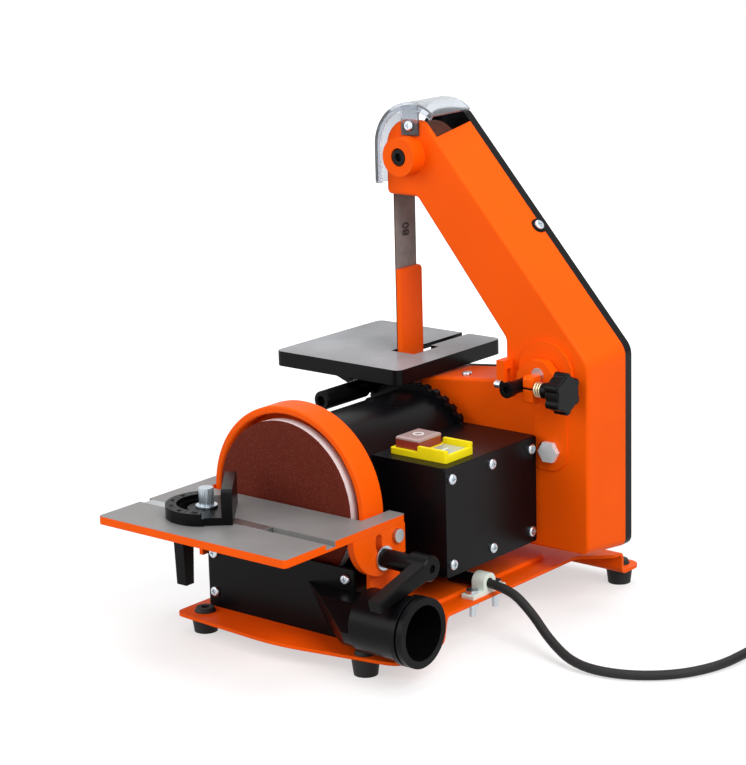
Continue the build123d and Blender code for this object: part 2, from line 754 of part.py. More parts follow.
def table_brackets():
    """Two fixed sheet brackets that carry the disc table, tabbed to the back of the guard."""
    back = BELL_FRONT_Y
    side = polygon(
        (BRACKET_FRONT_Y, BRACKET_FOOT_Z),
        (back + BRACKET_T, BRACKET_FOOT_Z),
        (back + BRACKET_T, TILT_Z),
        (TILT_Y - BRACKET_EAR_R, TILT_Z),
        (BRACKET_FRONT_Y, LOCK_Z - 4),
    )
    side += round_at(TILT_Y, TILT_Z, BRACKET_EAR_R)
    side += round_at(LOCK_Y, LOCK_Z, BRACKET_EAR_R - 1)
    side -= round_at(TILT_Y, TILT_Z, TILT_PIN_R + FIT)
    side -= round_at(LOCK_Y, LOCK_Z, STUD_R + FIT)
    right = on_yz(side, BRACKET_X, BRACKET_X + BRACKET_T)
    right += block((BRACKET_TAB_X, BRACKET_X + BRACKET_T), (back, back + BRACKET_T), (BRACKET_FOOT_Z, TILT_Z))
    return group([right, mirror(right, Plane.YZ)])


def table_pivots():
    """Shouldered pins that the two tables swing on."""
    pin = on_yz(round_at(TILT_Y, TILT_Z, TILT_PIN_R), BRACKET_X, WASHER_X)
    pin += on_yz(round_at(TILT_Y, TILT_Z, TILT_PIN_R + 2), WASHER_X, WASHER_X + 2 * WASHER_T)
    hinge = on_xz(round_at(HINGE_X, HINGE_Z, HINGE_R), PLATE_Y - 3, HOUSING_Y[0] + WALL)
    hinge += on_xz(round_at(HINGE_X, HINGE_Z, HINGE_R + 1.5), PLATE_Y - 3, PLATE_Y - RUN)
    hinge += on_xz(round_at(HINGE_X, HINGE_Z, HINGE_R + 1.5), PLATE_Y + PLATE_T + RUN, HOUSING_Y[0])
    return group([pin, mirror(pin, Plane.YZ), hinge])


def lock_studs():
    """Studs that the two lock levers and the lock rod screw onto, two with washers."""
    studs = []
    for side, hub in zip((-1, 1), LEVER_HUB_L):
        stud = on_yz(round_at(LOCK_Y, LOCK_Z, STUD_R), BRACKET_X - STUD_R, LEVER_X + hub - LEVER_WALL)
        stud += on_yz(hexagon(LOCK_Y, LOCK_Z, 3 * STUD_R), BRACKET_X - STUD_R, BRACKET_X)
        stud += on_yz(round_at(LOCK_Y, LOCK_Z, WASHER_R), WASHER_X, WASHER_X + WASHER_T)
        studs.append(stud if side > 0 else mirror(stud, Plane.YZ))
    end = PLATE_Y - 4 * STUD_R
    studs.append(on_xz(round_at(ROD_LOCK_X, ROD_LOCK_Z, STUD_R), end, HOUSING_Y[0] + WALL))
    return group(studs)


def lock_lever(hub, turn):
    """Moulded lever: a tapered hub on its stud and an arm at the outer end."""
    x1 = LEVER_X + hub
    lever = on_yz(round_at(LOCK_Y, LOCK_Z, LEVER_HUB_R), LEVER_X, x1)
    lever += on_yz(round_at(LOCK_Y, LOCK_Z, LEVER_HEAD_R), x1 - LEVER_HEAD_L, x1)
    tip = Pos(LEVER_ARM_L, 0) * Rectangle(LEVER_ARM_W[1], LEVER_ARM_W[1])
    ends = [Circle(LEVER_ARM_W[0] / 2), tip]
    arm = make_hull([edge for end in ends for edge in end.edges()])
    lever += on_yz(Pos(LOCK_Y, LOCK_Z) * Rot(0, 0, turn) * arm, x1 - LEVER_ARM_T, x1)
    lever = chamfer(lever.faces().sort_by(Axis.X)[-1].edges(), 1.2)
    lever -= on_yz(round_at(LOCK_Y, LOCK_Z, STUD_R + FIT), LEVER_X, x1 - LEVER_WALL + RUN)
    return lever - on_yz(hexagon(LOCK_Y, LOCK_Z, 2 * STUD_R), x1 - LEVER_SOCKET, x1)


def disc_table_plate():
    """Flat table, notched round the guard and slotted for the mitre bar."""
    low = TABLE_TOP_Z - TABLE_T
    front, back = TABLE_Y
    sheet = rect(-TABLE_HALF_X, TABLE_HALF_X, front, back)
    sheet = fillet(sheet.vertices(), TABLE_CORNER_R)
    edge_y = DISC_FACE_Y - DISC_GAP
    sheet -= rect(-NOTCH_HALF_X, NOTCH_HALF_X, edge_y, back)
    plate = on_xy(sheet, low, TABLE_TOP_Z)
    bevel = polygon((edge_y, low), (edge_y, low + TABLE_T / 2), (edge_y - TABLE_T / 2, low))
    plate -= on_yz(bevel, -NOTCH_HALF_X, NOTCH_HALF_X)
    half = MITRE_SLOT_W / 2
    slot = rect(MITRE_SLOT_Y - half, MITRE_SLOT_Y + half, TABLE_TOP_Z - MITRE_SLOT_D, TABLE_TOP_Z)
    return plate - on_yz(slot, -TABLE_HALF_X, TABLE_HALF_X)


def table_trunnions():
    """Half-round cheeks under the table, each with a pivot hole and a curved slot for the lock stud."""
    top = TABLE_TOP_Z - TABLE_T
    cheek = round_at(TRUNNION_Y, top, TRUNNION_R)
    cheek -= rect(TRUNNION_Y - TRUNNION_R, TRUNNION_Y + TRUNNION_R, top, top + TRUNNION_R)
    cheek -= rect(TABLE_Y[1] - 1, TABLE_Y[1] + TRUNNION_R, top - TRUNNION_R, top)
    radius = hypot(LOCK_Y - TILT_Y, LOCK_Z - TILT_Z)
    start = degrees(atan2(LOCK_Z - TILT_Z, LOCK_Y - TILT_Y)) % 360
    cheek -= arc_slot(TILT_Y, TILT_Z, radius, start + 2, start - TABLE_TILT - 2, STUD_R + RUN)
    cheek -= round_at(TILT_Y, TILT_Z, TILT_PIN_R + FIT)
    right = on_yz(cheek, TRUNNION_X, TABLE_HALF_X)
    return group([right, mirror(right, Plane.YZ)])


def mitre_bar():
    half = MITRE_SLOT_W / 2 - RUN
    bottom = TABLE_TOP_Z - MITRE_SLOT_D + RUN
    bar = block(
        (MITRE_X - BAR_LENGTH / 2, MITRE_X + BAR_LENGTH / 2),
        (MITRE_SLOT_Y - half, MITRE_SLOT_Y + half),
        (bottom, TABLE_TOP_Z - 0.1),
    )
    stud = on_xy(round_at(MITRE_X, MITRE_SLOT_Y, STUD_R), bottom, TABLE_TOP_Z + HEAD_T + KNOB_H)
    return bar + stud


def mitre_head():
    """Half-round protractor with an upright fence along its straight side."""
    base = TABLE_TOP_Z + RUN
    plate = round_at(0, 0, HEAD_R) - rect(0, HEAD_R, -HEAD_R, HEAD_R)
    plate += rect(-1, FENCE_X + FENCE_T, -FENCE_HALF, FENCE_HALF)
    plate -= arc_slot(0, 0, HEAD_R - SCALE_W - STUD_R - 2, *HEAD_SLOT, STUD_R)
    plate += round_at(0, 0, KNOB_WASHER_R + 1)
    head = on_xy(plate, base, base + HEAD_T)
    scale = ring_at(0, 0, HEAD_R, HEAD_R - SCALE_W) - rect(-SCALE_START, HEAD_R, -HEAD_R, HEAD_R)
    head += on_xy(scale, base, base + HEAD_T + SCALE_H)
    for i in range(1, SCALE_MARKS):
        angle = 90 + 180 * i / SCALE_MARKS
        groove = Rot(0, 0, angle) * (Pos(HEAD_R - SCALE_W / 2, 0) * Rectangle(SCALE_W * 0.7, KNURL_R))
        head -= on_xy(groove, base + HEAD_T + SCALE_H - KNURL_R, base + HEAD_T + SCALE_H)
    fence = block((FENCE_X, FENCE_X + FENCE_T), (-FENCE_HALF, FENCE_HALF), (base, base + FENCE_H))
    head += fillet(fence.edges().filter_by(Axis.X).group_by(Axis.Z)[-1], FENCE_H / 4)
    head -= on_xy(round_at(0, 0, STUD_R + FIT), base, base + FENCE_H)
    return Pos(MITRE_X, MITRE_SLOT_Y) * Rot(0, 0, HEAD_TURN) * head


def mitre_knob():
    """Knurled clamp nut of the mitre gauge on its stud, with a flange."""
    base = TABLE_TOP_Z + HEAD_T + 2 * RUN
    grip = Circle(KNOB_R)
    for i in range(KNURLS):
        angle = radians(360 * i / KNURLS)
        grip -= round_at(KNOB_R * cos(angle), KNOB_R * sin(angle), KNURL_R)
    knob = on_xy(Pos(MITRE_X, MITRE_SLOT_Y) * grip, base, base + 1.6 * KNOB_H)
    knob += on_xy(round_at(MITRE_X, MITRE_SLOT_Y, KNOB_WASHER_R), base, base + WASHER_T)
    stud_end = TABLE_TOP_Z + HEAD_T + KNOB_H
    return knob - on_xy(round_at(MITRE_X, MITRE_SLOT_Y, STUD_R + FIT), base, stud_end + 1)


def switch_box():
    """Sheet box, open towards its side cover and cut to sit against the round motor."""
    side = BOX_X[1] - BOX_T
    box = block((BOX_X[0], side), BOX_Y, BOX_Z)
    box -= block(
        (BOX_X[0] + BOX_T, side),
        (BOX_Y[0] + BOX_T, BOX_Y[1] - BOX_T),
        (BOX_Z[0] + BOX_T, BOX_Z[1] - BOX_T),
    )
    flange_y = (SHELL_Y[1] - SEAT, SHELL_Y[1] + FLANGE_T + SEAT)
    box -= on_xz(round_at(0, AXIS_Z, MOTOR_R + FIT), BOX_Y[0], BOX_Y[1])
    box -= on_xz(round_at(0, AXIS_Z, FLANGE_R + RUN), *flange_y)
    for y in BOX_SCREW_Y:
        for z in box_screw_heights():
            post = on_yz(round_at(y, z, SCREW_HEAD_R), side - BOX_POST_L, side)
            wall_z = BOX_Z[0] if z < AXIS_Z else BOX_Z[1]
            web_y = (y - BOX_T / 2, y + BOX_T / 2)
            post += block((side - BOX_POST_L, side), web_y, (min(z, wall_z), max(z, wall_z)))
            box += post - on_yz(round_at(y, z, SCREW_R + FIT), side - BOX_POST_L, side)
    box -= on_xy(switch_opening(), BOX_Z[1] - BOX_T, BOX_Z[1])
    return box - on_xy(round_at(GLAND_X, GLAND_Y, RELIEF_R[0] - 1), BOX_Z[0], BOX_Z[0] + BOX_T)


def box_screw_heights():
    return BOX_Z[0] + BOX_SCREW_INSET, BOX_Z[1] - BOX_SCREW_INSET


def box_side_cover():
    plate = rect(BOX_Y[0], BOX_Y[1], BOX_Z[0], BOX_Z[1])
    plate = fillet(plate.vertices(), 2)
    for y in BOX_SCREW_Y:
        for z in box_screw_heights():
            plate -= round_at(y, z, SCREW_R + FIT)
    return on_yz(plate, BOX_X[1] - BOX_T, BOX_X[1])


def box_screws():
    places = [(BOX_X[1], y, z) for y in BOX_SCREW_Y for z in box_screw_heights()]
    return group([screw(at, (1, 0, 0), BOX_SCREW_L) for at in places])


def switch_opening():
    """Clear space inside the switch frame, seen from above."""
    x = (SWITCH_X[0] + SWITCH_T, SWITCH_X[1] - SWITCH_T)
    y = (SWITCH_Y[0] + SWITCH_T, SWITCH_Y[1] - SWITCH_T)
    return rect(*x, *y)


def switch_frame():
    """Bright guard frame round the two buttons, with high cheeks at its +X end and a lower end wall."""
    z0, z1 = BOX_Z[1], BOX_Z[1] + SWITCH_H
    frame = fillet(rect(*SWITCH_X, *SWITCH_Y).vertices(), 2)
    solid = on_xy(frame - switch_opening(), z0, z1)
    middle = sum(SWITCH_X) / 2
    solid -= block((SWITCH_X[0], middle), (SWITCH_Y[0], SWITCH_Y[1]), (z0 + SWITCH_H / 2, z1))
    end_y = (SWITCH_Y[0] + SWITCH_T, SWITCH_Y[1] - SWITCH_T)
    solid -= block((SWITCH_X[1] - SWITCH_T, SWITCH_X[1]), end_y, (z0 + SWITCH_END_H, z1))
    bridge = block((middle - 1, middle + 1), (SWITCH_Y[0] + 1, SWITCH_Y[1] - 1), (z0, z0 + SWITCH_H / 2))
    return solid + bridge


def button(x, height):
    """Push button that stands in its half of the frame and reaches into the box."""
    y = (SWITCH_Y[0] + SWITCH_T + BUTTON_GAP, SWITCH_Y[1] - SWITCH_T - BUTTON_GAP)
    cap = block(x, y, (BOX_Z[1] - BOX_T - 2, BOX_Z[1] + height))
    return fillet(cap.edges().group_by(Axis.Z)[-1], 1.5)


def stop_button():
    middle = sum(SWITCH_X) / 2
    return button((SWITCH_X[0] + SWITCH_T + BUTTON_GAP, middle - 1 - BUTTON_GAP), STOP_H)


def start_button():
    middle = sum(SWITCH_X) / 2
    return button((middle + 1 + BUTTON_GAP, SWITCH_X[1] - SWITCH_T - BUTTON_GAP), START_H)


def housing_face(out, throat):
    """Outline of the belt housing: its outer sides moved out, and the sides of the throat and the head."""
    left, right = COLUMN_X
    return outline(
        (LOWER_LEFT_X - out, HOUSING_FOOT_Z - out, 34),
        (LOWER_LEFT_X - out, LOWER_TOP_Z[0] + throat, 5),
        (OPENING_X[1], LOWER_TOP_Z[0] + throat, 10),
        (left - throat, LOWER_TOP_Z[1] + throat, 9),
        (left - throat, INNER_FOOT_Z - throat, 9),
        (INNER_TOP_X - throat, HEAD_BOTTOM_Z - throat, 5),
        (HEAD_LEFT_X - throat, HEAD_BOTTOM_Z - throat, 4),
        (HEAD_LEFT_X - throat, HEAD_TOP_Z + out, 22),
        (ARM_TOP_X + out, HEAD_TOP_Z + out, 9),
        (right + out, ARM_FOOT_Z + out, 16),
        (right + out, HOUSING_FOOT_Z - out, 7),
    )


def drafted(inset, y0, y1):
    """The housing's form between two depths, wider towards the back by its draft."""
    faces = []
    for y in (y0, y1):
        plane = Plane((0, y, 0), x_dir=(1, 0, 0), z_dir=(0, -1, 0))
        grow = DRAFT * (y - HOUSING_Y[0]) / (HOUSING_Y[1] - HOUSING_Y[0])
        faces.append(plane * housing_face(grow - inset, -inset))
    return loft(faces, ruled=True)


def axle_slot(half_width):
    """Arc that the rear axle sweeps as the tension arm swings, in X and Z."""
    radius = hypot(REAR_X - ARM_PIVOT_X, REAR_Z - ARM_PIVOT_Z)
    start = degrees(atan2(REAR_Z - ARM_PIVOT_Z, REAR_X - ARM_PIVOT_X))
    return arc_slot(ARM_PIVOT_X, ARM_PIVOT_Z, radius, start, start - ARM_SWING, half_width)


def belt_housing():
    """Cast shell, open at the back, with bosses for the axles and lugs for the table and the tension rod."""
    y0, y1 = HOUSING_Y
    shell = drafted(0, y0, y1)
    shell = fillet(shell.edges().group_by(Axis.Y)[0], 2.5)
    shell -= drafted(WALL, y0 + WALL, y1)
    inside = (y0 + WALL, y1)
    head_top = HEAD_TOP_Z + DRAFT
    shell -= block((HEAD_LEFT_X, BELT_X + 2 * BELT_SLOT_W), inside, (HEAD_BOTTOM_Z, head_top))
    shell -= block((HEAD_LEFT_X, ARM_TOP_X + UPPER_R / 2), inside, (UPPER_Z, head_top))
    shell -= block((OPENING_X[0] - 2, OPENING_X[1]), inside, (LOWER_TOP_Z[0] - 2 * WALL, LOWER_TOP_Z[1]))
    ear = round_at(HINGE_X, HINGE_Z, HINGE_EAR_R)
    ear += rect(HINGE_X - HINGE_EAR_R, HINGE_X + HINGE_EAR_R, LOWER_TOP_Z[0] - WALL, HINGE_Z)
    shell += on_xz(ear, y0, y0 + WALL)
    shell += on_xz(round_at(UPPER_X, UPPER_Z, AXLE_BOSS_R), y0 - AXLE_BOSS_L, y0)
    half_moon = round_at(ARM_PIVOT_X, ARM_PIVOT_Z, PIVOT_BOSS_R)
    shell += on_xz(half_moon, y0 - BOSS_STEP, y0)
    pad = axle_slot(PAD_R) + rect(REAR_X - PAD_R, REAR_X + PAD_R, REAR_Z, ARM_PIVOT_Z)
    shell += on_xz(pad, y0 - PAD_STEP, y0)
    left = COLUMN_X[0]
    lug = block((left, left + LUG_W), (y0 - LUG_L, y0), (BLOCK_Z[0] + 4, BLOCK_Z[1] + 6))
    lug -= block((left, left + LUG_W), (y0 - LUG_L + 4, y0 - 3), (BLOCK_Z[0] + 9, BLOCK_Z[1] - 1))
    shell += lug
    through = (y0 - AXLE_BOSS_L, y0 + WALL)
    shell -= on_xz(round_at(UPPER_X, UPPER_Z, AXLE_R + FIT), *through)
    head_y = y0 - AXLE_BOSS_L
    shell -= on_xz(round_at(UPPER_X, UPPER_Z, AXLE_HEAD_R + 1), head_y, head_y + AXLE_HEAD_L)
    shell -= on_xz(round_at(ARM_PIVOT_X, ARM_PIVOT_Z, ARM_PIVOT_R + FIT), *through)
    shell -= on_xz(axle_slot(AXLE_R + 1), *through)
    shell -= on_xz(round_at(0, AXIS_Z, BEARING_R), *through)
    shell -= on_xz(round_at(ROD_LOCK_X, ROD_LOCK_Z, STUD_R + FIT), *through)
    shell -= on_xz(round_at(HINGE_X, HINGE_Z, HINGE_R + FIT), *through)
    for place in cover_screw_places():
        plane = ear_plane(*place)
        shell -= cover_ear(plane, FIT, WALL + RUN)
        shell -= screw_hole(plane.origin, plane.z_dir, 2 * WALL)
    for at, direction in housing_screw_places():
        shell -= screw_hole(at, direction, 2 * WALL)
    return shell


def arm_normal():
    """Direction square to the arm's outer edge."""
    run, drop = COLUMN_X[1] - ARM_TOP_X, HEAD_TOP_Z - ARM_FOOT_Z
    return (drop / hypot(run, drop), 0, run / hypot(run, drop))


def cover_screw_places():
    """Places on the housing's front outline of the screws through the cover's ears, with their directions."""
    arm = (
        ARM_TOP_X + EAR_SHARE * (COLUMN_X[1] - ARM_TOP_X),
        HEAD_TOP_Z - EAR_SHARE * (HEAD_TOP_Z - ARM_FOOT_Z),
    )
    foot = ((BELT_X + COLUMN_X[0]) / 2, HOUSING_FOOT_Z)
    return [(arm, arm_normal()), (foot, (0, 0, -1))]


def ear_plane(place, direction):
    """Plane of one ear's face, just proud of the drafted wall, its first axis towards the back edge."""
    depth = HOUSING_Y[1] - HOUSING_Y[0]
    draft = DRAFT * (abs(direction[0]) + abs(direction[2]))
    lean = atan2(draft, depth)
    out = draft * (1 - EAR_SET / depth)
    at = (place[0] + out * direction[0], HOUSING_Y[1] - EAR_SET, place[1] + out * direction[2])
    normal = (cos(lean) * direction[0], -sin(lean), cos(lean) * direction[2])
    along = (sin(lean) * direction[0], cos(lean), sin(lean) * direction[2])
    return Plane(at, x_dir=along, z_dir=normal).offset(EAR_RISE)


def housing_screw_places():
    """The hood's screw and the one on top of the lower branch."""
    left = OPENING_X[1]
    slope = (LOWER_TOP_Z[1] - LOWER_TOP_Z[0]) / (COLUMN_X[0] - left)
    x = (left + COLUMN_X[0]) / 2
    branch = (x, HOUSING_Y[0] + 4 * WALL, LOWER_TOP_Z[0] + slope * (x - left))
    return [(hood_screw_place(), (0, -1, 0)), (branch, Vector(-slope, 0, 1).normalized())]


def hood_screw_place():
    return (UPPER_X + HOOD_T, HOUSING_Y[0] - HOOD_T, HEAD_TOP_Z - SCREW_HEAD_R)


def housing_screws():
    """Screws through the cover's ears, the hood's tab and the top of the lower branch."""
    ears = [ear_plane(*place) for place in cover_screw_places()]
    places = [(plane.origin, plane.z_dir) for plane in ears] + housing_screw_places()
    return group([screw(at, direction, WALL + 1) for at, direction in places])


def cover_ear(plane, grow, depth):
    """Tab of the rear cover let into the housing wall round one screw, or the notch for it."""
    reach = EAR_SET + WALL / 2
    tab = Circle(EAR_TAB_R + grow) + Pos(reach / 2, 0) * Rectangle(reach, 2 * (EAR_TAB_R + grow))
    ear = extrude(plane * tab, -EAR_RISE - depth)
    return ear & block((LOWER_LEFT_X, 2 * COLUMN_X[1]), (0, HOUSING_Y[1]), (0, 2 * HEAD_TOP_Z))


def rear_cover():
    """Moulded cover that closes the back of the belt housing, dished towards the wheels."""
    cover = on_xz(housing_face(DRAFT, 0), HOUSING_Y[1], COVER_Y)
    cover = fillet(cover.edges().group_by(Axis.Y)[-1], 2.5)
    cover -= on_xz(housing_face(DRAFT - COVER_T, -COVER_T), HOUSING_Y[1], COVER_Y - COVER_T)
    for place in cover_screw_places():
        plane = ear_plane(*place)
        cover += cover_ear(plane, 0, WALL - RUN)
        cover -= screw_hole(plane.origin, plane.z_dir, 2 * WALL)
    return cover


def wheel(x, z, radius, bore):
    """Crowned wheel with a dished web on each side."""
    y1 = WHEEL_Y + WHEEL_W
    rim = on_xz(round_at(x, z, radius), WHEEL_Y, y1)
    dish = ring_at(x, z, radius - 4, bore + 4)
    rim -= on_xz(dish, WHEEL_Y, WHEEL_Y + 6) + on_xz(dish, y1 - 6, y1)
    return rim - on_xz(round_at(x, z, bore), WHEEL_Y, y1)


def drive_wheel():
    return wheel(0, AXIS_Z, DRIVE_R, SHAFT_R + FIT)


def idler_bearing(x, z):
    return on_xz(ring_at(x, z, WHEEL_BEARING_R, AXLE_R + FIT), WHEEL_Y, WHEEL_Y + WHEEL_W)


def upper_axle():
    """Bolt through the head's boss, with a socket head in front and a collar behind the wheel."""
    front = HOUSING_Y[0] - AXLE_BOSS_L + AXLE_HEAD_L
    axle = on_xz(round_at(UPPER_X, UPPER_Z, AXLE_R), front, AXLE_END_Y)
    head = on_xz(round_at(UPPER_X, UPPER_Z, AXLE_HEAD_R), front - AXLE_HEAD_L + RUN, front)
    axle += head - on_xz(hexagon(UPPER_X, UPPER_Z, AXLE_HEAD_R), front - AXLE_HEAD_L, front - AXLE_HEAD_L / 3)
    axle += on_xz(round_at(UPPER_X, UPPER_Z, AXLE_COLLAR_R), HOUSING_Y[0] + WALL, WHEEL_Y - RUN)
    return axle + on_xz(round_at(UPPER_X, UPPER_Z, AXLE_COLLAR_R), WHEEL_Y + WHEEL_W + RUN, AXLE_END_Y)


def tension_arm():
    """Arm inside the housing: its pivot shaft runs out through the wall to the block, the axle sits below."""
    inner = HOUSING_Y[0] + WALL + RUN
    ends = [round_at(ARM_PIVOT_X, ARM_PIVOT_Z, ARM_PIVOT_R + 4), round_at(REAR_X, REAR_Z, AXLE_R + 4)]
    plate = make_hull([edge for end in ends for edge in end.edges()])
    plate -= round_at(REAR_X, REAR_Z, AXLE_R + FIT)
    arm = on_xz(plate, inner, inner + ARM_T)
    return arm + on_xz(round_at(ARM_PIVOT_X, ARM_PIVOT_Z, ARM_PIVOT_R), BLOCK_BACK_Y, inner)


def rear_axle():
    """Axle bolt of the rear wheel, its hex head outside the housing."""
    head_y = HOUSING_Y[0] - PAD_STEP - RUN
    axle = on_xz(round_at(REAR_X, REAR_Z, AXLE_R), head_y, AXLE_END_Y)
    axle += on_xz(hexagon(REAR_X, REAR_Z, 3 * AXLE_R), head_y - AXLE_NUT_T, head_y)
    return axle + on_xz(round_at(REAR_X, REAR_Z, AXLE_COLLAR_R), WHEEL_Y + WHEEL_W + RUN, AXLE_END_Y)


def tension_block():
    """Cast bracket on the arm's pivot shaft: a plate along the column and a cheek for the tracking screw."""
    x0, x1 = BLOCK_BACK_X
    low, high = BLOCK_Z
    crown = ARM_PIVOT_Z + 2 * ARM_PIVOT_R
    back = outline(
        (x0, low + ROD_R, 3),
        (x1, low, 3),
        (x1, high, 3),
        (ARM_PIVOT_X + ARM_PIVOT_R, crown, 4),
        (ARM_PIVOT_X - ARM_PIVOT_R, crown, 4),
        (x0, high, 3),
    )
    back -= round_at(ARM_PIVOT_X, ARM_PIVOT_Z, ARM_PIVOT_R + FIT)
    solid = on_xz(back, BLOCK_BACK_Y, BLOCK_Y[1])
    cheek = block(BLOCK_X, (BLOCK_Y[0], BLOCK_BACK_Y), BLOCK_Z)
    solid += fillet(cheek.edges().filter_by(Axis.X).group_by(Axis.Y)[0], 3)
    solid -= on_xz(round_at(ROD_X, ROD_Z, ROD_R + FIT), BLOCK_BACK_Y, BLOCK_Y[1])
    return solid - on_yz(round_at(KNOB_Y, KNOB_Z, STAR_STEM_R / 2 + FIT), *BLOCK_X)


def tension_rod():
    """Tension handle in the bracket, with a cap at its end and a stop pin across it."""
    end = BLOCK_Y[1] - ROD_L
    rod = on_xz(round_at(ROD_X, ROD_Z, ROD_R), end, BLOCK_Y[1])
    rod += on_xz(round_at(ROD_X, ROD_Z, ROD_CAP_R), end, end + ROD_CAP_R)
    rod -= on_xz(hexagon(ROD_X, ROD_Z, ROD_R), end, end + ROD_R / 2)
    pin_y = end + 2 * ROD_CAP_R
    pin_x = ROD_X - PIN_STOP_L
    rod += on_yz(round_at(pin_y, ROD_Z, PIN_STOP_R), pin_x, ROD_X)
    return rod + on_yz(round_at(pin_y, ROD_Z, 1.5 * PIN_STOP_R), pin_x, pin_x + ROD_R)


def tension_spring():
    """Compression spring on the tracking screw, between the bracket and the knob."""
    pitch = (SPRING_L - 2 * SPRING_WIRE_R) / SPRING_TURNS
    path = Helix(pitch, pitch * SPRING_TURNS, SPRING_R)
    coil = sweep(Plane(path @ 0, z_dir=path % 0) * Circle(SPRING_WIRE_R), path)
    return Pos(BLOCK_X[1] + SPRING_WIRE_R + FIT, KNOB_Y, KNOB_Z) * Rot(0, 90, 0) * coil


def tracking_knob():
    """Star knob on its screw."""
    star = round_at(KNOB_Y, KNOB_Z, STAR_R - 2.5)
    for i in range(STAR_LOBES):
        angle = radians(360 * (i + 0.5) / STAR_LOBES)
        star += round_at(KNOB_Y + (STAR_R - 4) * cos(angle), KNOB_Z + (STAR_R - 4) * sin(angle), 4)
    knob = on_yz(star, STAR_X, STAR_X + STAR_T)
    knob = fillet(knob.faces().sort_by(Axis.X)[-1].edges(), 1.5)
    collar_x = BLOCK_X[1] + SPRING_L + 2 * FIT
    neck_x = STAR_X - STAR_NECK_L
    knob += cone_x(KNOB_Y, KNOB_Z, (neck_x, STAR_STEM_R), (STAR_X, STAR_R - 3))
    knob += on_yz(round_at(KNOB_Y, KNOB_Z, STAR_STEM_R), collar_x, neck_x)
    return knob + on_yz(round_at(KNOB_Y, KNOB_Z, STAR_STEM_R / 2), BLOCK_X[0] + RUN, collar_x)


def abrasive_belt():
    y1 = BELT_Y + BELT_W
    return on_xz(belt_face(RUN + BELT_T), BELT_Y, y1) - on_xz(belt_face(RUN), BELT_Y, y1)


def platen():
    """Flat backing bar behind the working run of the belt, footed on the housing wall."""
    y = (BELT_Y + (BELT_W - PLATEN_W) / 2, BELT_Y + (BELT_W + PLATEN_W) / 2)
    x = (BELT_X, BELT_X + PLATEN_T)
    bar = block(x, y, PLATEN_Z)
    bar = fillet(bar.edges().filter_by(Axis.Y).sort_by(Axis.Z)[-1], 3)
    return bar + block(x, (HOUSING_Y[0] + WALL, y[0]), (PLATEN_Z[0], PLATEN_Z[0] + PLATEN_FOOT_H))


def hood_arch(centre, thickness):
    """Section of the hood: an arch from the head round to a straight flap in front of the belt."""
    arch = ring_at(centre, HOOD_Z, HOOD_R, HOOD_R - thickness)
    arch -= rect(centre - HOOD_R, centre + HOOD_R, HOOD_Z - HOOD_R, HOOD_Z)
    far = 2 * HOOD_R
    arch -= polygon(
        (centre, HOOD_Z),
        (centre + far, HOOD_Z),
        (centre + far * cos(radians(HOOD_END)), HOOD_Z + far * sin(radians(HOOD_END))),
    )
    return arch + rect(centre - HOOD_R, centre - HOOD_R + thickness, HOOD_FOOT_Z, HOOD_Z)


def clear_hood():
    """Bent clear sheet over the top wheel with a rim at its front edge and a tab screwed to the head."""
    centre = BELT_X + HOOD_R - 6.5
    hood = on_xz(hood_arch(centre, HOOD_T), *HOOD_Y)
    hood += on_xz(hood_arch(centre, HOOD_RIM), HOOD_Y[0], HOOD_Y[0] + HOOD_T)
    x, y, z = hood_screw_place()
    tab = round_at(centre, HOOD_Z, HOOD_R - HOOD_T / 2)
    tab &= rect(x - HOOD_TAB_W / 2, x + HOOD_TAB_W / 2, UPPER_Z + AXLE_BOSS_R + RUN, HOOD_Z + HOOD_R)
    tab -= round_at(x, z, SCREW_R + FIT)
    return hood + on_xz(tab, y, HOUSING_Y[0])


def belt_table_top():
    """Cast table with a skirt, an opening round the belt and a slot to pass the belt in."""
    x0, x1 = BELT_TABLE_X
    y0, y1 = BELT_TABLE_Y
    top = fillet(rect(x0, x1, y0, y1).vertices(), SKIRT_R)
    table = on_xy(top, BELT_TABLE_Z - SKIRT_D, BELT_TABLE_Z)
    table -= on_xy(offset(top, -SKIRT_T), BELT_TABLE_Z - SKIRT_D, BELT_TABLE_Z - BELT_TABLE_T)
    gap = OPENING_Y_GAP
    opening = rect(*OPENING_X, BELT_Y - gap, BELT_Y + BELT_W + gap)
    middle = sum(OPENING_X) / 2
    opening += rect(middle - BELT_SLOT_W / 2, middle + BELT_SLOT_W / 2, BELT_Y, y1)
    return table - on_xy(opening, BELT_TABLE_Z - SKIRT_D, BELT_TABLE_Z)


def belt_table_trunnion():
    """Plate under the belt table with its hinge hole, the lock slot and a sight window."""
    top = BELT_TABLE_Z - BELT_TABLE_T
    long, deep, rib = PLATE_L, PLATE_D, PLATE_RIB
    face = outline(
        (HINGE_X - long, top, 0.5),
        (HINGE_X - long + rib / 2, top - deep / 2, rib),
        (HINGE_X - long / 2.5, top - deep + rib / 2, 2 * rib),
        (HINGE_X, top - deep, rib),
        (HINGE_X + rib, top - 0.7 * deep, rib),
        (HINGE_X + rib, top, 0.5),
    )
    window = outline(
        (HINGE_X - long + rib, top - rib, 1),
        (HINGE_X - long + 1.5 * rib, top - deep / 2, rib / 2),
        (HINGE_X - long / 2.5, top - deep + 1.4 * rib, rib),
        (HINGE_X - long / 3.2, top - rib, 2),
    )
    radius = hypot(ROD_LOCK_X - HINGE_X, ROD_LOCK_Z - HINGE_Z)
    start = degrees(atan2(ROD_LOCK_Z - HINGE_Z, ROD_LOCK_X - HINGE_X)) % 360
    face -= window
    face -= arc_slot(HINGE_X, HINGE_Z, radius, start + 2, start - BELT_TABLE_TILT - 2, STUD_R + RUN)
    face -= round_at(HINGE_X, HINGE_Z, HINGE_R + FIT)
    return on_xz(face, PLATE_Y, PLATE_Y + PLATE_T)


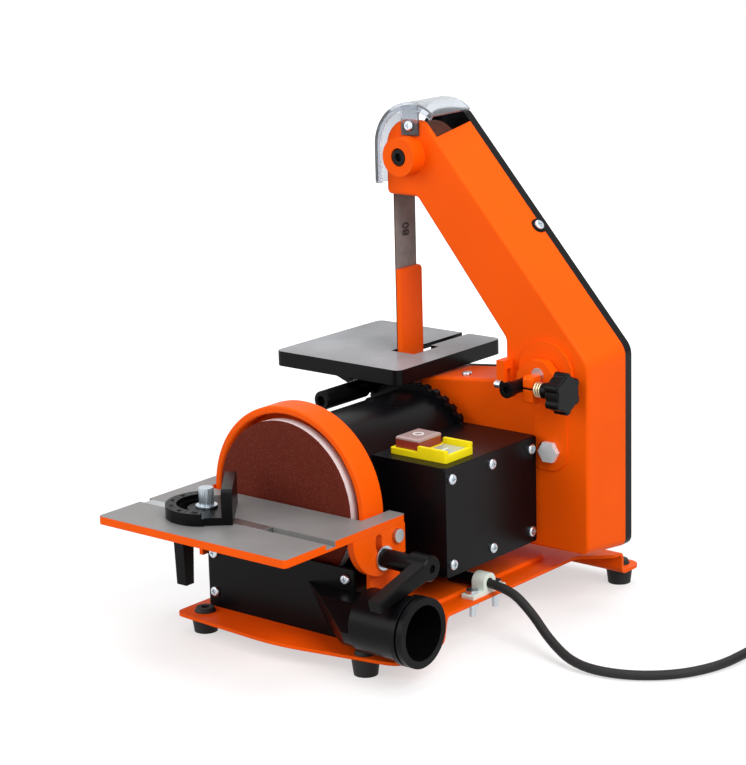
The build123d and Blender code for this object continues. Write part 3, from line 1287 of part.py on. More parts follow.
def lock_rod():
    """Long hand nut that clamps the belt table's plate against the housing."""
    y1 = PLATE_Y - RUN
    y0 = y1 - ROD_LOCK_L
    rod = on_xz(round_at(ROD_LOCK_X, ROD_LOCK_Z, ROD_LOCK_R), y0, y1 - ROD_NECK_L)
    rod = chamfer(rod.edges().group_by(Axis.Y)[0], 1)
    rod += on_xz(round_at(ROD_LOCK_X, ROD_LOCK_Z, ROD_NECK_R), y1 - ROD_NECK_L, y1)
    rod -= on_xz(round_at(ROD_LOCK_X, ROD_LOCK_Z, STUD_R + FIT), PLATE_Y - 4 * STUD_R - RUN, y1)
    return rod - on_xz(hexagon(ROD_LOCK_X, ROD_LOCK_Z, ROD_LOCK_R), y0, y0 + 4)


def cord_gland():
    """Elbow under the box that turns the lead level towards the clamp."""
    down = on_xy(round_at(GLAND_X, GLAND_Y, RELIEF_R[0]), CORD_Z, BOX_Z[0])
    nut = on_xy(hexagon(GLAND_X, GLAND_Y, 2 * GLAND_R), BOX_Z[0] - 5, BOX_Z[0])
    relief = cone_x(GLAND_Y, CORD_Z, (GLAND_X, RELIEF_R[0]), (GLAND_X + RELIEF_L, RELIEF_R[1]))
    corner = Pos(GLAND_X, GLAND_Y, CORD_Z) * Sphere(RELIEF_R[0])
    return down + nut + relief + corner


def cable_clamp():
    """Saddle over the lead on the edge of the deck."""
    arch = CORD_R + RUN + CLAMP_T
    feet = outline(
        (GLAND_Y - CLAMP_HALF_Y, DECK_TOP, 0.3),
        (GLAND_Y + CLAMP_HALF_Y, DECK_TOP, 0.3),
        (GLAND_Y + CLAMP_HALF_Y, DECK_TOP + CLAMP_T, 1.5),
        (GLAND_Y + arch, DECK_TOP + CLAMP_T, 1.2),
        (GLAND_Y + arch, CORD_Z + arch, 0.9 * arch),
        (GLAND_Y - arch, CORD_Z + arch, 0.9 * arch),
        (GLAND_Y - arch, DECK_TOP + CLAMP_T, 1.2),
        (GLAND_Y - CLAMP_HALF_Y, DECK_TOP + CLAMP_T, 1.5),
    )
    body = on_yz(feet - round_at(GLAND_Y, CORD_Z, CORD_R + RUN), *CLAMP_X)
    for side in (-1, 1):
        body -= on_xy(clamp_screw_place(side, CLAMP_SCREW_R + FIT), DECK_TOP, DECK_TOP + CLAMP_T)
    return body


def clamp_screw_place(side, radius):
    return round_at(sum(CLAMP_X) / 2, GLAND_Y + side * CLAMP_SCREW_Y, radius)


def clamp_screws():
    """Two screws with nuts under the deck."""
    top = DECK_TOP + CLAMP_T
    under = DECK_TOP - SHEET_T
    screws = []
    for side in (-1, 1):
        shank = on_xy(clamp_screw_place(side, CLAMP_SCREW_R), under - CLAMP_SCREW_END, top)
        head = on_xy(clamp_screw_place(side, 2 * CLAMP_SCREW_R), top, top + CLAMP_SCREW_R)
        x, y = sum(CLAMP_X) / 2, GLAND_Y + side * CLAMP_SCREW_Y
        nut = on_xy(hexagon(x, y, 4 * CLAMP_SCREW_R), under - CLAMP_NUT_H, under)
        screws.append(shank + head + nut)
    return group(screws)


def cord_radii():
    """Bend radius at each inner point of the lead: as large as its two runs allow."""
    points = [Vector(*p) for p in CORD_POINTS]
    radii = []
    for before, here, after in zip(points, points[1:], points[2:]):
        turn = radians((here - before).get_angle(after - here))
        shorter = min((here - before).length, (after - here).length)
        radii.append(0.45 * shorter / tan(turn / 2))
    return radii


def print_tube(name, path, tube):
    """Length of a tube, and its volume beside that of a straight tube of this length."""
    straight = path.length * pi * CORD_R**2
    print(name, "length", round(path.length), "volume ratio", round(tube.volume / straight, 4))


def power_cord():
    radii = cord_radii()
    print("lead radii", [round(r) for r in radii])
    path = FilletPolyline(*CORD_POINTS, radius=radii)
    start = Plane(path @ 0, z_dir=path % 0)
    tube = sweep(start * Circle(CORD_R), path)
    print_tube("lead", path, tube)
    return tube


def flat_half_turn(x, way, radius, z):
    """Half turn of the coil at one height, from x to the far side of its centre."""
    step = way * radius
    return ThreePointArc((x, COIL_Y, z), (x + step, COIL_Y + step, z), (x + 2 * step, COIL_Y, z))


def coil_path():
    """Flat spiral of half turns in, one climbing half turn, and the spiral out again on top."""
    low = CORD_POINTS[-1][2]
    high = low + COIL_PITCH
    half_steps = 2 * COIL_LAYER_TURNS
    radii = [COIL_R - COIL_PITCH / 2 * i for i in range(half_steps + 1)]
    edges = [Line(CORD_POINTS[-1], (COIL_LEFT_X, COIL_Y, low))]
    x = COIL_LEFT_X
    way = 1
    for radius in radii[:-1]:
        edges.append(flat_half_turn(x, way, radius, low))
        x, way = x + 2 * way * radius, -way
    climb = radii[-1]
    crest = (x + way * climb, COIL_Y + way * climb, (low + high) / 2)
    end = x + 2 * way * climb
    edges.append(TangentArc((x, COIL_Y, low), crest, tangent=(0, way, 0)))
    edges.append(TangentArc(crest, (end, COIL_Y, high), tangent=(0, way, 0), tangent_from_first=False))
    x, way = end, -way
    for radius in reversed(radii[:-1]):
        edges.append(flat_half_turn(x, way, radius, high))
        x, way = x + 2 * way * radius, -way
    edges.append(Line((x, COIL_Y, high), (x, COIL_Y - COIL_TAIL, high)))
    return edges


def least_gap(path):
    """Least gap between turns of the coil, measured on points of its middle line."""
    count = int(path.length / 3)
    points = [path @ (i / count) for i in range(count + 1)]
    far = int(6 * CORD_R * count / path.length)
    return min((b - a).length for i, a in enumerate(points) for b in points[i + far:]) - 2 * CORD_R


def cord_coil():
    edges = coil_path()
    path = Wire(edges)
    tube = sweep(Plane(path @ 0, z_dir=path % 0) * Circle(CORD_R), path)
    print_tube("coil", path, tube)
    print("coil least gap", round(least_gap(path), 2))
    return tube


def cord_tie():
    """Band round all the turns of the coil, on its -Y side."""
    low, high = CORD_POINTS[-1][2], CORD_POINTS[-1][2] + COIL_PITCH
    outer_r = COIL_R - COIL_PITCH / 2 + CORD_R + RUN
    inner_r = COIL_R - COIL_PITCH / 2 * (2 * COIL_LAYER_TURNS - 1) - CORD_R - TIE_MARGIN
    loop = rect(COIL_Y - outer_r, COIL_Y - inner_r, low - CORD_R - RUN, high + CORD_R + RUN)
    band = offset(loop, TIE_T, kind=Kind.INTERSECTION) - loop
    x = COIL_LEFT_X + COIL_R
    return on_yz(band, x - TIE_W / 2, x + TIE_W / 2)


def plug_axis():
    """Start of the plug and the height of its middle line."""
    end = coil_path()[-1] @ 1
    return end.X, end.Y - 3 * FIT, end.Z


def plug():
    """Moulded plug with a tapered strain relief at its lead end."""
    x, y, z = plug_axis()
    thin = Plane((x, y, z), z_dir=(0, -1, 0)) * Circle(CORD_R + 0.8)
    thick = Plane((x, y - PLUG_RELIEF_L, z), z_dir=(0, -1, 0)) * Circle(PLUG_R * 0.62)
    sleeve = loft([thin, thick])
    profile = round_at(x, z, PLUG_R) & rect(x - PLUG_R, x + PLUG_R, z - PLUG_R, z + 0.8 * PLUG_R)
    body = on_xz(profile, y - PLUG_RELIEF_L - PLUG_L, y - PLUG_RELIEF_L)
    return sleeve + body


def plug_pins():
    x, y, z = plug_axis()
    face = y - PLUG_RELIEF_L - PLUG_L
    half = PIN_SPACING / 2 - PIN_R
    pins = [on_xz(round_at(x + side * half, z, PIN_R), face - PIN_L, face) for side in (-1, 1)]
    return group([fillet(pin.edges().group_by(Axis.Y)[0], PIN_R / 2) for pin in pins])


PIECES = {
    "base_plate": base_plate,
    "rubber_feet": rubber_feet,
    "motor_shell": motor_shell,
    "motor_front_bell": motor_front_bell,
    "motor_rear_bell": motor_rear_bell,
    "motor_bearings": motor_bearings,
    "stator": stator,
    "rotor_core": rotor_core,
    "rotor_shaft": rotor_shaft,
    "motor_mount": motor_mount,
    "sanding_disc": sanding_disc,
    "abrasive_disc": abrasive_disc,
    "disc_guard": disc_guard,
    "dust_shroud": dust_shroud,
    "table_brackets": table_brackets,
    "table_pivots": table_pivots,
    "lock_studs": lock_studs,
    "disc_table_plate": disc_table_plate,
    "table_trunnions": table_trunnions,
    "mitre_bar": mitre_bar,
    "mitre_head": mitre_head,
    "mitre_knob": mitre_knob,
    "switch_box": switch_box,
    "box_side_cover": box_side_cover,
    "box_screws": box_screws,
    "switch_frame": switch_frame,
    "stop_button": stop_button,
    "start_button": start_button,
    "belt_housing": belt_housing,
    "housing_screws": housing_screws,
    "rear_cover": rear_cover,
    "drive_wheel": drive_wheel,
    "upper_axle": upper_axle,
    "tension_arm": tension_arm,
    "rear_axle": rear_axle,
    "tension_block": tension_block,
    "tension_rod": tension_rod,
    "tension_spring": tension_spring,
    "tracking_knob": tracking_knob,
    "abrasive_belt": abrasive_belt,
    "platen": platen,
    "clear_hood": clear_hood,
    "belt_table_top": belt_table_top,
    "belt_table_trunnion": belt_table_trunnion,
    "lock_rod": lock_rod,
    "cord_gland": cord_gland,
    "cable_clamp": cable_clamp,
    "clamp_screws": clamp_screws,
    "power_cord": power_cord,
    "cord_coil": cord_coil,
    "cord_tie": cord_tie,
    "plug": plug,
    "plug_pins": plug_pins,
}

os.makedirs("parts", exist_ok=True)
print("origin", ORIGIN, "upper wheel Z", round(UPPER_Z, 2))
for node, make in PIECES.items():
    save(node, make())
save("upper_wheel", wheel(UPPER_X, UPPER_Z, UPPER_R, WHEEL_BEARING_R + FIT))
save("upper_bearing", idler_bearing(UPPER_X, UPPER_Z))
save("rear_wheel", wheel(REAR_X, REAR_Z, REAR_R, WHEEL_BEARING_R + FIT))
save("rear_bearing", idler_bearing(REAR_X, REAR_Z))
save("shroud_screws", group([screw(at, (0, -1, 0), SHROUD_T + 1) for at in shroud_screw_places()]))
save("left_lever", mirror(lock_lever(LEVER_HUB_L[0], LEVER_TURN[0]), Plane.YZ))
save("right_lever", lock_lever(LEVER_HUB_L[1], LEVER_TURN[1]))
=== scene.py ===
"""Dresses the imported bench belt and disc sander: camera, lead, finishes, small details, floor and light."""

from math import cos, pi, radians, sin

import bmesh
import bpy
from mathutils import Matrix, Vector


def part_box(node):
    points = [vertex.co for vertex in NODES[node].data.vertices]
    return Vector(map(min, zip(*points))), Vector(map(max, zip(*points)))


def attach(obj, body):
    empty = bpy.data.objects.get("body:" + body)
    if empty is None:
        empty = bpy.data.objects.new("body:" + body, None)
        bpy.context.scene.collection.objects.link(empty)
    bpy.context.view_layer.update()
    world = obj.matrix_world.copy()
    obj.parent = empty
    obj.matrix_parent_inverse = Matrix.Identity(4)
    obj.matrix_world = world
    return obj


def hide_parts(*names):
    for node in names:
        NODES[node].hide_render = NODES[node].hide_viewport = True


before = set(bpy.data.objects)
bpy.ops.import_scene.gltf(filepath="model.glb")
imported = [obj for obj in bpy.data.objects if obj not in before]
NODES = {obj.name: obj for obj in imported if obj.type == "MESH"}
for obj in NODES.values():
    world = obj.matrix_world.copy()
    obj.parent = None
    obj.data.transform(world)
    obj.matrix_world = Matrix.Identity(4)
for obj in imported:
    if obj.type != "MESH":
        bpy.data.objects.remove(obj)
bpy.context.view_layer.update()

# The camera, fitted to the photograph
CAMERA_PLACE = Vector((1.1129, -1.3401, 0.6202))
CAMERA_TURN = 39.764
CAMERA_DIP = 14.087
CAMERA_ROLL = -1.507
CAMERA_LENS = 113.83
CAMERA_SENSOR = 36

# The lead, in metres: the route's own points, then the turns of its coil
CORD_DIAMETER = 0.007
CORD_ROUTE = [
    (0.07935, 0.016, 0.040),
    (0.10735, 0.016, 0.040),
    (0.13235, 0.011, 0.0275),
    (0.15735, 0.0, 0.013),
    (0.18735, -0.012, 0.005),
    (0.22235, -0.008, 0.004),
    (0.25335, 0.014, 0.004),
    (0.26935, 0.048, 0.004),
    (0.27235, 0.084, 0.005),
    (0.27235, 0.118, 0.005),
]
COIL_START = Vector((0.27235, 0.125, 0.005))
COIL_RADIUS = 0.0456
COIL_PITCH = 0.0076
COIL_LAYER_TURNS = 3
COIL_TAIL = 0.027
POINTS_PER_HALF_TURN = 8

# Part of a noise's range over which a finish goes from its dark to its light tone
COLOUR_SPREAD = (0.35, 0.65)

# Where a node changes its finish
GROUND_DEPTH = 0.005
SLOT_HALF_WIDTH = 0.006
GREY_DEPTH = 0.001
PIN_TIP_LENGTH = 0.004
LOOKS_UP = 0.9
LOOKS_ALONG = 0.5
SHARP_ANGLE = 28

# Details on the switch, the protractor and the belt
MARK_RISE = 0.0003
STOP_MARK_RADIUS = 0.0042
STOP_MARK_WIDTH = 0.0012
STOP_MARK_SIDES = 32
START_MARK_SIZE = (0.0016, 0.0085)
# Depth of each button's pale top, a painted sheen on its clear cap, and the blend at the edge of that painted
# sheen
STOP_PAINTED_SHEEN_DEPTH = 0.0022
START_PAINTED_SHEEN_DEPTH = 0.0018
PAINTED_SHEEN_BLEND = 0.0002
SCALE_RISE = 0.0035
SCALE_MIDDLE = 0.0261
SCALE_TURN = 219
SCALE_NUMBERS = (-75, -45, -15, 15, 45, 75)
SCALE_NUMBER_SIZE = 0.0036
GRIT_NUMBER = "80"
GRIT_NUMBER_SIZE = 0.011
GRIT_NUMBER_RISE = 0.03

# Light and floor; each lamp has a name, a place, a size in metres and a power in watts
FLOOR_SIZE = 8.0
FLOOR_GREY = 0.45
FLOOR_ROUGH = 0.9
FLOOR_SHINE = 0.1
FLOOR_LIFT = (0.56, 1.0)
FLOOR_FADE = (0.3, 1.1)
SKY_STRENGTH = 0.5
LAMPS = [
    ("key", (2.0, -0.7, 1.7), 1.4, 46),
    ("fill", (-1.2, -2.1, 1.2), 1.8, 26),
    ("top", (0.1, 0.4, 2.4), 2.0, 25),
]
LAMP_AIM = Vector((0, 0, 0.15))


def add_camera():
    """Camera at the photograph's place, turn and lens."""
    turn, dip, roll = radians(CAMERA_TURN), radians(CAMERA_DIP), radians(CAMERA_ROLL)
    level = Vector((cos(turn), sin(turn), 0))
    ahead = Vector((-sin(turn) * cos(dip), cos(turn) * cos(dip), -sin(dip)))
    above = level.cross(ahead)
    right = cos(roll) * level + sin(roll) * above
    up = -sin(roll) * level + cos(roll) * above
    data = bpy.data.cameras.new("camera")
    data.lens = CAMERA_LENS
    data.sensor_width = CAMERA_SENSOR
    data.clip_end = 50
    camera = bpy.data.objects.new("camera", data)
    bpy.context.scene.collection.objects.link(camera)
    camera.matrix_world = Matrix((right, up, -ahead)).transposed().to_4x4()
    camera.location = CAMERA_PLACE
    bpy.context.scene.camera = camera


def half_turn(start, way, radius, rise):
    """Control points of one half turn that ends on the far side of its centre, rise higher.

    The points lie a little outside the radius, so that the curve between them keeps it.
    """
    centre = start + Vector((way * radius, 0, 0))
    reach = radius / ((1 + cos(pi / POINTS_PER_HALF_TURN / 2)) / 2)
    points = []
    for i in range(POINTS_PER_HALF_TURN):
        angle = pi * (i + 0.5) / POINTS_PER_HALF_TURN
        lift = rise * (1 - cos(angle)) / 2
        points.append(centre + Vector((-way * reach * cos(angle), way * reach * sin(angle), lift)))
    return points, centre + Vector((way * radius, 0, rise))


def coil_points():
    """Flat spiral in, one climbing half turn, and the spiral out again on top of it."""
    steps = 2 * COIL_LAYER_TURNS
    radii = [COIL_RADIUS - COIL_PITCH / 2 * i for i in range(steps + 1)]
    place = COIL_START.copy()
    points = [COIL_START.copy()]
    way = 1
    for i, radius in enumerate(radii + radii[-2::-1]):
        turn, place = half_turn(place, way, radius, COIL_PITCH if i == steps else 0)
        points += turn
        way = -way
    return points + [place, place + Vector((0, -COIL_TAIL, 0))]


def add_cord(material):
    """The lead as one smooth line from its gland to the plug."""
    curve = bpy.data.curves.new("power_lead", "CURVE")
    curve.dimensions = "3D"
    curve.bevel_depth = CORD_DIAMETER / 2
    curve.bevel_resolution = 5
    curve.resolution_u = 6
    curve.use_fill_caps = True
    points = [Vector(p) for p in CORD_ROUTE] + coil_points()
    spline = curve.splines.new("NURBS")
    spline.points.add(len(points) - 1)
    for target, point in zip(spline.points, points):
        target.co = (*point, 1)
    spline.order_u = 3
    spline.use_endpoint_u = True
    lead = bpy.data.objects.new("power_lead", curve)
    bpy.context.scene.collection.objects.link(lead)
    curve.materials.append(material)
    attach(lead, "frame")
    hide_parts("power_cord", "cord_coil")


class Finish:
    """One procedural material, built up step by step on a Principled shader."""

    def __init__(self, name, colour, rough, edge, metal=0.0):
        self.material = bpy.data.materials.new(name)
        self.material.use_nodes = True
        self.tree = self.material.node_tree
        self.shader = self.tree.nodes["Principled BSDF"]
        self.shader.inputs["Base Color"].default_value = (*colour, 1)
        self.shader.inputs["Roughness"].default_value = rough
        self.shader.inputs["Metallic"].default_value = metal
        self.colour = colour
        self.place = self.tree.nodes.new("ShaderNodeTexCoord").outputs["Object"]
        self.normal = None
        if edge:
            bevel = self.tree.nodes.new("ShaderNodeBevel")
            bevel.samples = 4
            bevel.inputs["Radius"].default_value = edge
            self.set_normal(bevel.outputs["Normal"])

    def set_normal(self, socket):
        self.normal = socket
        self.tree.links.new(socket, self.shader.inputs["Normal"])

    def noise(self, scale, detail=4.0, stretch=(1, 1, 1)):
        """Noise from 0 to 1, drawn out along an axis whose stretch is below 1."""
        mapping = self.tree.nodes.new("ShaderNodeMapping")
        mapping.inputs["Scale"].default_value = stretch
        noise = self.tree.nodes.new("ShaderNodeTexNoise")
        noise.inputs["Scale"].default_value = scale
        noise.inputs["Detail"].default_value = detail
        self.tree.links.new(self.place, mapping.inputs["Vector"])
        self.tree.links.new(mapping.outputs["Vector"], noise.inputs["Vector"])
        return noise.outputs["Fac"]

    def grains(self, scale):
        """A height over each grain, and one random tone per grain."""
        cells = self.tree.nodes.new("ShaderNodeTexVoronoi")
        cells.inputs["Scale"].default_value = scale
        self.tree.links.new(self.place, cells.inputs["Vector"])
        return cells.outputs["Distance"], cells.outputs["Color"]

    def above(self, level):
        """0 below a height and 1 above it."""
        split = self.tree.nodes.new("ShaderNodeSeparateXYZ")
        step = self.tree.nodes.new("ShaderNodeMapRange")
        step.inputs["From Min"].default_value = level - PAINTED_SHEEN_BLEND
        step.inputs["From Max"].default_value = level + PAINTED_SHEEN_BLEND
        self.tree.links.new(self.place, split.inputs["Vector"])
        self.tree.links.new(split.outputs["Z"], step.inputs["Value"])
        return step.outputs["Result"]

    def bump(self, height, strength, distance):
        bump = self.tree.nodes.new("ShaderNodeBump")
        bump.inputs["Strength"].default_value = strength
        bump.inputs["Distance"].default_value = distance
        self.tree.links.new(height, bump.inputs["Height"])
        if self.normal:
            self.tree.links.new(self.normal, bump.inputs["Normal"])
        self.set_normal(bump.outputs["Normal"])
        return self

    def ramp_colour(self, factor, stops):
        ramp = self.tree.nodes.new("ShaderNodeValToRGB")
        while len(ramp.color_ramp.elements) < len(stops):
            ramp.color_ramp.elements.new(0.5)
        for element, (place, colour) in zip(ramp.color_ramp.elements, stops):
            element.position = place
            element.color = (*colour, 1)
        self.tree.links.new(factor, ramp.inputs["Fac"])
        self.tree.links.new(ramp.outputs["Color"], self.shader.inputs["Base Color"])
        return self

    def shade(self, factor):
        """The colour, darker or lighter by a factor."""
        return tuple(min(1, c * factor) for c in self.colour)

    def vary_colour(self, factor, dark, light):
        start, end = COLOUR_SPREAD
        return self.ramp_colour(factor, [(start, self.shade(dark)), (end, self.shade(light))])

    def vary_rough(self, factor, low, high):
        spread = self.tree.nodes.new("ShaderNodeMapRange")
        spread.inputs["To Min"].default_value = low
        spread.inputs["To Max"].default_value = high
        self.tree.links.new(factor, spread.inputs["Value"])
        self.tree.links.new(spread.outputs["Result"], self.shader.inputs["Roughness"])
        return self

    def set(self, socket, value):
        self.shader.inputs[socket].default_value = value
        return self


def paint(name, colour):
    """Sprayed enamel with a faint orange-peel surface."""
    finish = Finish(name, colour, rough=0.42, edge=0.0006)
    finish.vary_colour(finish.noise(scale=14), dark=0.95, light=1.03)
    finish.vary_rough(finish.noise(scale=60), low=0.36, high=0.5)
    finish.bump(finish.noise(scale=900, detail=2), strength=0.08, distance=0.0002)
    return finish.set("Specular IOR Level", 0.08).material


def satin_coat(name, colour):
    """Satin powder coat with a faint texture."""
    finish = Finish(name, colour, rough=0.3, edge=0.0006)
    finish.vary_colour(finish.noise(scale=20), dark=0.85, light=1.2)
    finish.vary_rough(finish.noise(scale=200), low=0.24, high=0.36)
    finish.bump(finish.noise(scale=1600, detail=3), strength=0.1, distance=0.0002)
    return finish.set("Specular IOR Level", 0.1).material


def plastic(name, colour, rough, grain):
    """Moulded plastic with a fine grain."""
    finish = Finish(name, colour, rough, edge=0.0005)
    finish.vary_colour(finish.noise(scale=25), dark=0.9, light=1.1)
    finish.vary_rough(finish.noise(scale=120), low=rough - 0.06, high=rough + 0.08)
    finish.bump(finish.noise(scale=1800, detail=2), strength=grain, distance=0.0001)
    return finish.set("Specular IOR Level", 0.09).material


def metal(name, colour, rough, stretch=(1, 1, 1), scale=500, bare=1.0):
    """Metal with fine machining lines along the axis of least stretch; bare is 1 without any dulling film."""
    finish = Finish(name, colour, rough, metal=bare, edge=0.0003)
    lines = finish.noise(scale, detail=3, stretch=stretch)
    finish.vary_rough(lines, low=rough - 0.05, high=rough + 0.08)
    finish.vary_colour(finish.noise(scale=30), dark=0.94, light=1.04)
    return finish.bump(lines, strength=0.02, distance=0.0001).material


def grit(name, colour, fleck, scale):
    """Abrasive grains in resin on cloth, a few of them pale."""
    finish = Finish(name, colour, rough=0.75, edge=0.0)
    height, tone = finish.grains(scale)
    stops = [(0.2, finish.shade(0.75)), (0.55, colour), (0.85, finish.shade(1.25)), (0.95, fleck)]
    finish.ramp_colour(tone, stops)
    finish.vary_rough(height, low=0.55, high=0.9)
    finish.bump(height, strength=0.6, distance=0.0004)
    return finish.set("Specular IOR Level", 0.12).material


def cloth(name, colour):
    """Woven backing cloth of the belt."""
    finish = Finish(name, colour, rough=0.8, edge=0.0)
    finish.vary_colour(finish.noise(scale=90, detail=5), dark=0.85, light=1.12)
    weave = finish.noise(scale=1500, detail=2, stretch=(1, 0.2, 1))
    return finish.bump(weave, strength=0.3, distance=0.0002).material


def clear(name, colour):
    """Clear moulded sheet."""
    finish = Finish(name, colour, rough=0.07, edge=0.0006)
    finish.set("Transmission Weight", 0.92).set("IOR", 1.4)
    return finish.bump(finish.noise(scale=18, detail=2), strength=0.05, distance=0.0006).material


def lens(name, body, top, level):
    """Glossy button with its top above a level painted pale, a painted sheen on its clear cap, and its
    coloured body below.
    """
    finish = Finish(name, body, rough=0.14, edge=0.0006)
    finish.ramp_colour(finish.above(level), [(0, body), (1, top)])
    return finish.bump(finish.noise(scale=70, detail=2), strength=0.04, distance=0.0002).material


def rubber(name, colour):
    """Dull rubber."""
    finish = Finish(name, colour, rough=0.62, edge=0.0005)
    finish.vary_colour(finish.noise(scale=40), dark=0.8, light=1.25)
    finish.bump(finish.noise(scale=1400, detail=2), strength=0.2, distance=0.0001)
    return finish.set("Specular IOR Level", 0.3).material


STOP_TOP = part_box("stop_button")[1].z
START_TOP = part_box("start_button")[1].z

ORANGE = paint("orange_paint", (0.92, 0.101, 0.001))
BLACK_COAT = satin_coat("black_coat", (0.0025, 0.0025, 0.0033))
BLACK_PLASTIC = plastic("black_plastic", (0.003, 0.003, 0.0036), rough=0.3, grain=0.08)
BLACK_GLOSS = plastic("black_gloss", (0.0035, 0.0035, 0.0042), rough=0.24, grain=0.05)
YELLOW = plastic("yellow_plastic", (0.92, 0.76, 0.008), rough=0.35, grain=0.06)
# Stop and start buttons, coloured below and painted pale on top as a painted sheen on their clear caps
RED_BUTTON_PAINTED_SHEEN = lens("red_button_painted_sheen", (0.26, 0.034, 0.022), (0.4, 0.29, 0.28), STOP_TOP - STOP_PAINTED_SHEEN_DEPTH)
GREEN_BUTTON_PAINTED_SHEEN = lens("green_button_painted_sheen", (0.06, 0.3, 0.13), (0.42, 0.46, 0.38), START_TOP - START_PAINTED_SHEEN_DEPTH)
WHITE_MARK = plastic("white_mark", (0.8, 0.8, 0.78), rough=0.3, grain=0.05)
NYLON = plastic("pale_nylon", (0.72, 0.78, 0.7), rough=0.4, grain=0.05)
PRINT = plastic("grey_print", (0.06, 0.055, 0.05), rough=0.7, grain=0.05)
STEEL = metal("steel", (0.5, 0.51, 0.52), rough=0.3, stretch=(1, 0.15, 1))
ZINC = metal("zinc", (0.58, 0.64, 0.69), rough=0.3)
PALE_ZINC = metal("pale_zinc", (0.76, 0.77, 0.78), rough=0.42, bare=0.35)
SPRING = metal("spring_wire", (0.62, 0.52, 0.34), rough=0.28)
ALLOY = metal("disc_alloy", (0.78, 0.78, 0.79), rough=0.5, stretch=(1, 0.1, 1), scale=700, bare=0.3)
CORE = metal("core_steel", (0.3, 0.29, 0.28), rough=0.5, stretch=(1, 8, 1), scale=300)
BRASS = metal("pin_brass", (0.75, 0.58, 0.28), rough=0.25)
GROUND = metal("ground_table", (0.24, 0.235, 0.233), rough=0.46, stretch=(0.06, 1, 1), scale=1200, bare=0.4)
GREY_TABLE = satin_coat("grey_table", (0.26, 0.265, 0.28))
DISC_GRIT = grit("disc_grit", (0.125, 0.017, 0.008), fleck=(0.22, 0.07, 0.045), scale=2200)
BELT_GRIT = grit("belt_grit", (0.1, 0.03, 0.018), fleck=(0.2, 0.11, 0.08), scale=2200)
BELT_CLOTH = cloth("belt_cloth", (0.22, 0.212, 0.203))
RUBBER = rubber("rubber", (0.012, 0.012, 0.012))
BLACK_STEEL = plastic("black_steel", (0.008, 0.008, 0.009), rough=0.3, grain=0.05)
CLEAR = clear("clear_sheet", (0.62, 0.66, 0.71))

FINISHES = {
    ORANGE: [
        "base_plate",
        "disc_guard",
        "belt_housing",
        "platen",
        "tension_block",
        "table_brackets",
        "table_trunnions",
        "disc_table_plate",
    ],
    BLACK_COAT: [
        "motor_shell",
        "motor_front_bell",
        "motor_rear_bell",
        "motor_mount",
        "switch_box",
        "box_side_cover",
        "belt_table_top",
        "belt_table_trunnion",
    ],
    BLACK_PLASTIC: ["dust_shroud", "rear_cover", "left_lever", "right_lever", "lock_rod", "mitre_head"],
    BLACK_GLOSS: ["tracking_knob", "tension_rod", "plug", "cord_gland", "cord_tie"],
    BLACK_STEEL: ["upper_axle"],
    RUBBER: ["rubber_feet"],
    YELLOW: ["switch_frame"],
    RED_BUTTON_PAINTED_SHEEN: ["stop_button"],
    GREEN_BUTTON_PAINTED_SHEEN: ["start_button"],
    NYLON: ["cable_clamp"],
    STEEL: [
        "rotor_shaft",
        "motor_bearings",
        "upper_bearing",
        "rear_bearing",
        "tension_arm",
        "table_pivots",
        "mitre_bar",
    ],
    ZINC: [
        "box_screws",
        "housing_screws",
        "shroud_screws",
        "clamp_screws",
        "lock_studs",
        "mitre_knob",
    ],
    PALE_ZINC: ["rear_axle"],
    SPRING: ["tension_spring"],
    ALLOY: ["sanding_disc", "drive_wheel", "upper_wheel", "rear_wheel"],
    CORE: ["stator", "rotor_core"],
    BRASS: ["plug_pins"],
    DISC_GRIT: ["abrasive_disc"],
    BELT_GRIT: ["abrasive_belt"],
    CLEAR: ["clear_hood"],
}


def dress(node, material):
    """Smooth round faces, sharp edges, and one finish on a node."""
    mesh = NODES[node].data
    mesh.materials.clear()
    mesh.materials.append(material)
    mesh.shade_smooth()
    mesh.set_sharp_from_angle(angle=radians(SHARP_ANGLE))


def paint_faces(node, material, wanted):
    """A second finish on the faces of a node that wanted picks by their middle and normal."""
    mesh = NODES[node].data
    mesh.materials.append(material)
    for face in mesh.polygons:
        if wanted(face.center, face.normal):
            face.material_index = len(mesh.materials) - 1


def middle(node):
    """Middle of a node's box."""
    low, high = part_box(node)
    return (low + high) / 2


def dress_nodes():
    """All finishes, and the faces of four nodes that have a second one."""
    for material, nodes in FINISHES.items():
        for node in nodes:
            dress(node, material)
    ground_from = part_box("disc_table_plate")[1].z - GROUND_DEPTH
    grey_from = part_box("belt_table_top")[1].z - GREY_DEPTH
    slot = middle("mitre_bar").y
    loop = (middle("drive_wheel") + middle("upper_wheel") + middle("rear_wheel")) / 3
    pin_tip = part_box("tension_rod")[0].x + PIN_TIP_LENGTH

    def on_ground_table(at, out):
        return at.z > ground_from and (out.z > LOOKS_UP or abs(at.y - slot) < SLOT_HALF_WIDTH)

    def on_belt_table(at, out):
        return at.z > grey_from and out.z > LOOKS_UP

    def on_belt_back(at, out):
        return abs(out.y) < LOOKS_ALONG and (loop - at).dot(out) > 0

    paint_faces("disc_table_plate", GROUND, on_ground_table)
    paint_faces("belt_table_top", GREY_TABLE, on_belt_table)
    paint_faces("abrasive_belt", BELT_CLOTH, on_belt_back)
    paint_faces("tension_rod", ZINC, lambda at, out: at.x < pin_tip)


def add_piece(name, data, material, body):
    """A new piece with its finish, riding on a body."""
    piece = bpy.data.objects.new(name, data)
    bpy.context.scene.collection.objects.link(piece)
    data.materials.append(material)
    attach(piece, body)
    return piece


def add_mark(name, build, material, body):
    """A mesh piece from a bmesh builder."""
    mesh = bpy.data.meshes.new(name)
    bm = bmesh.new()
    build(bm)
    bm.normal_update()
    bm.to_mesh(mesh)
    bm.free()
    add_piece(name, mesh, material, body)


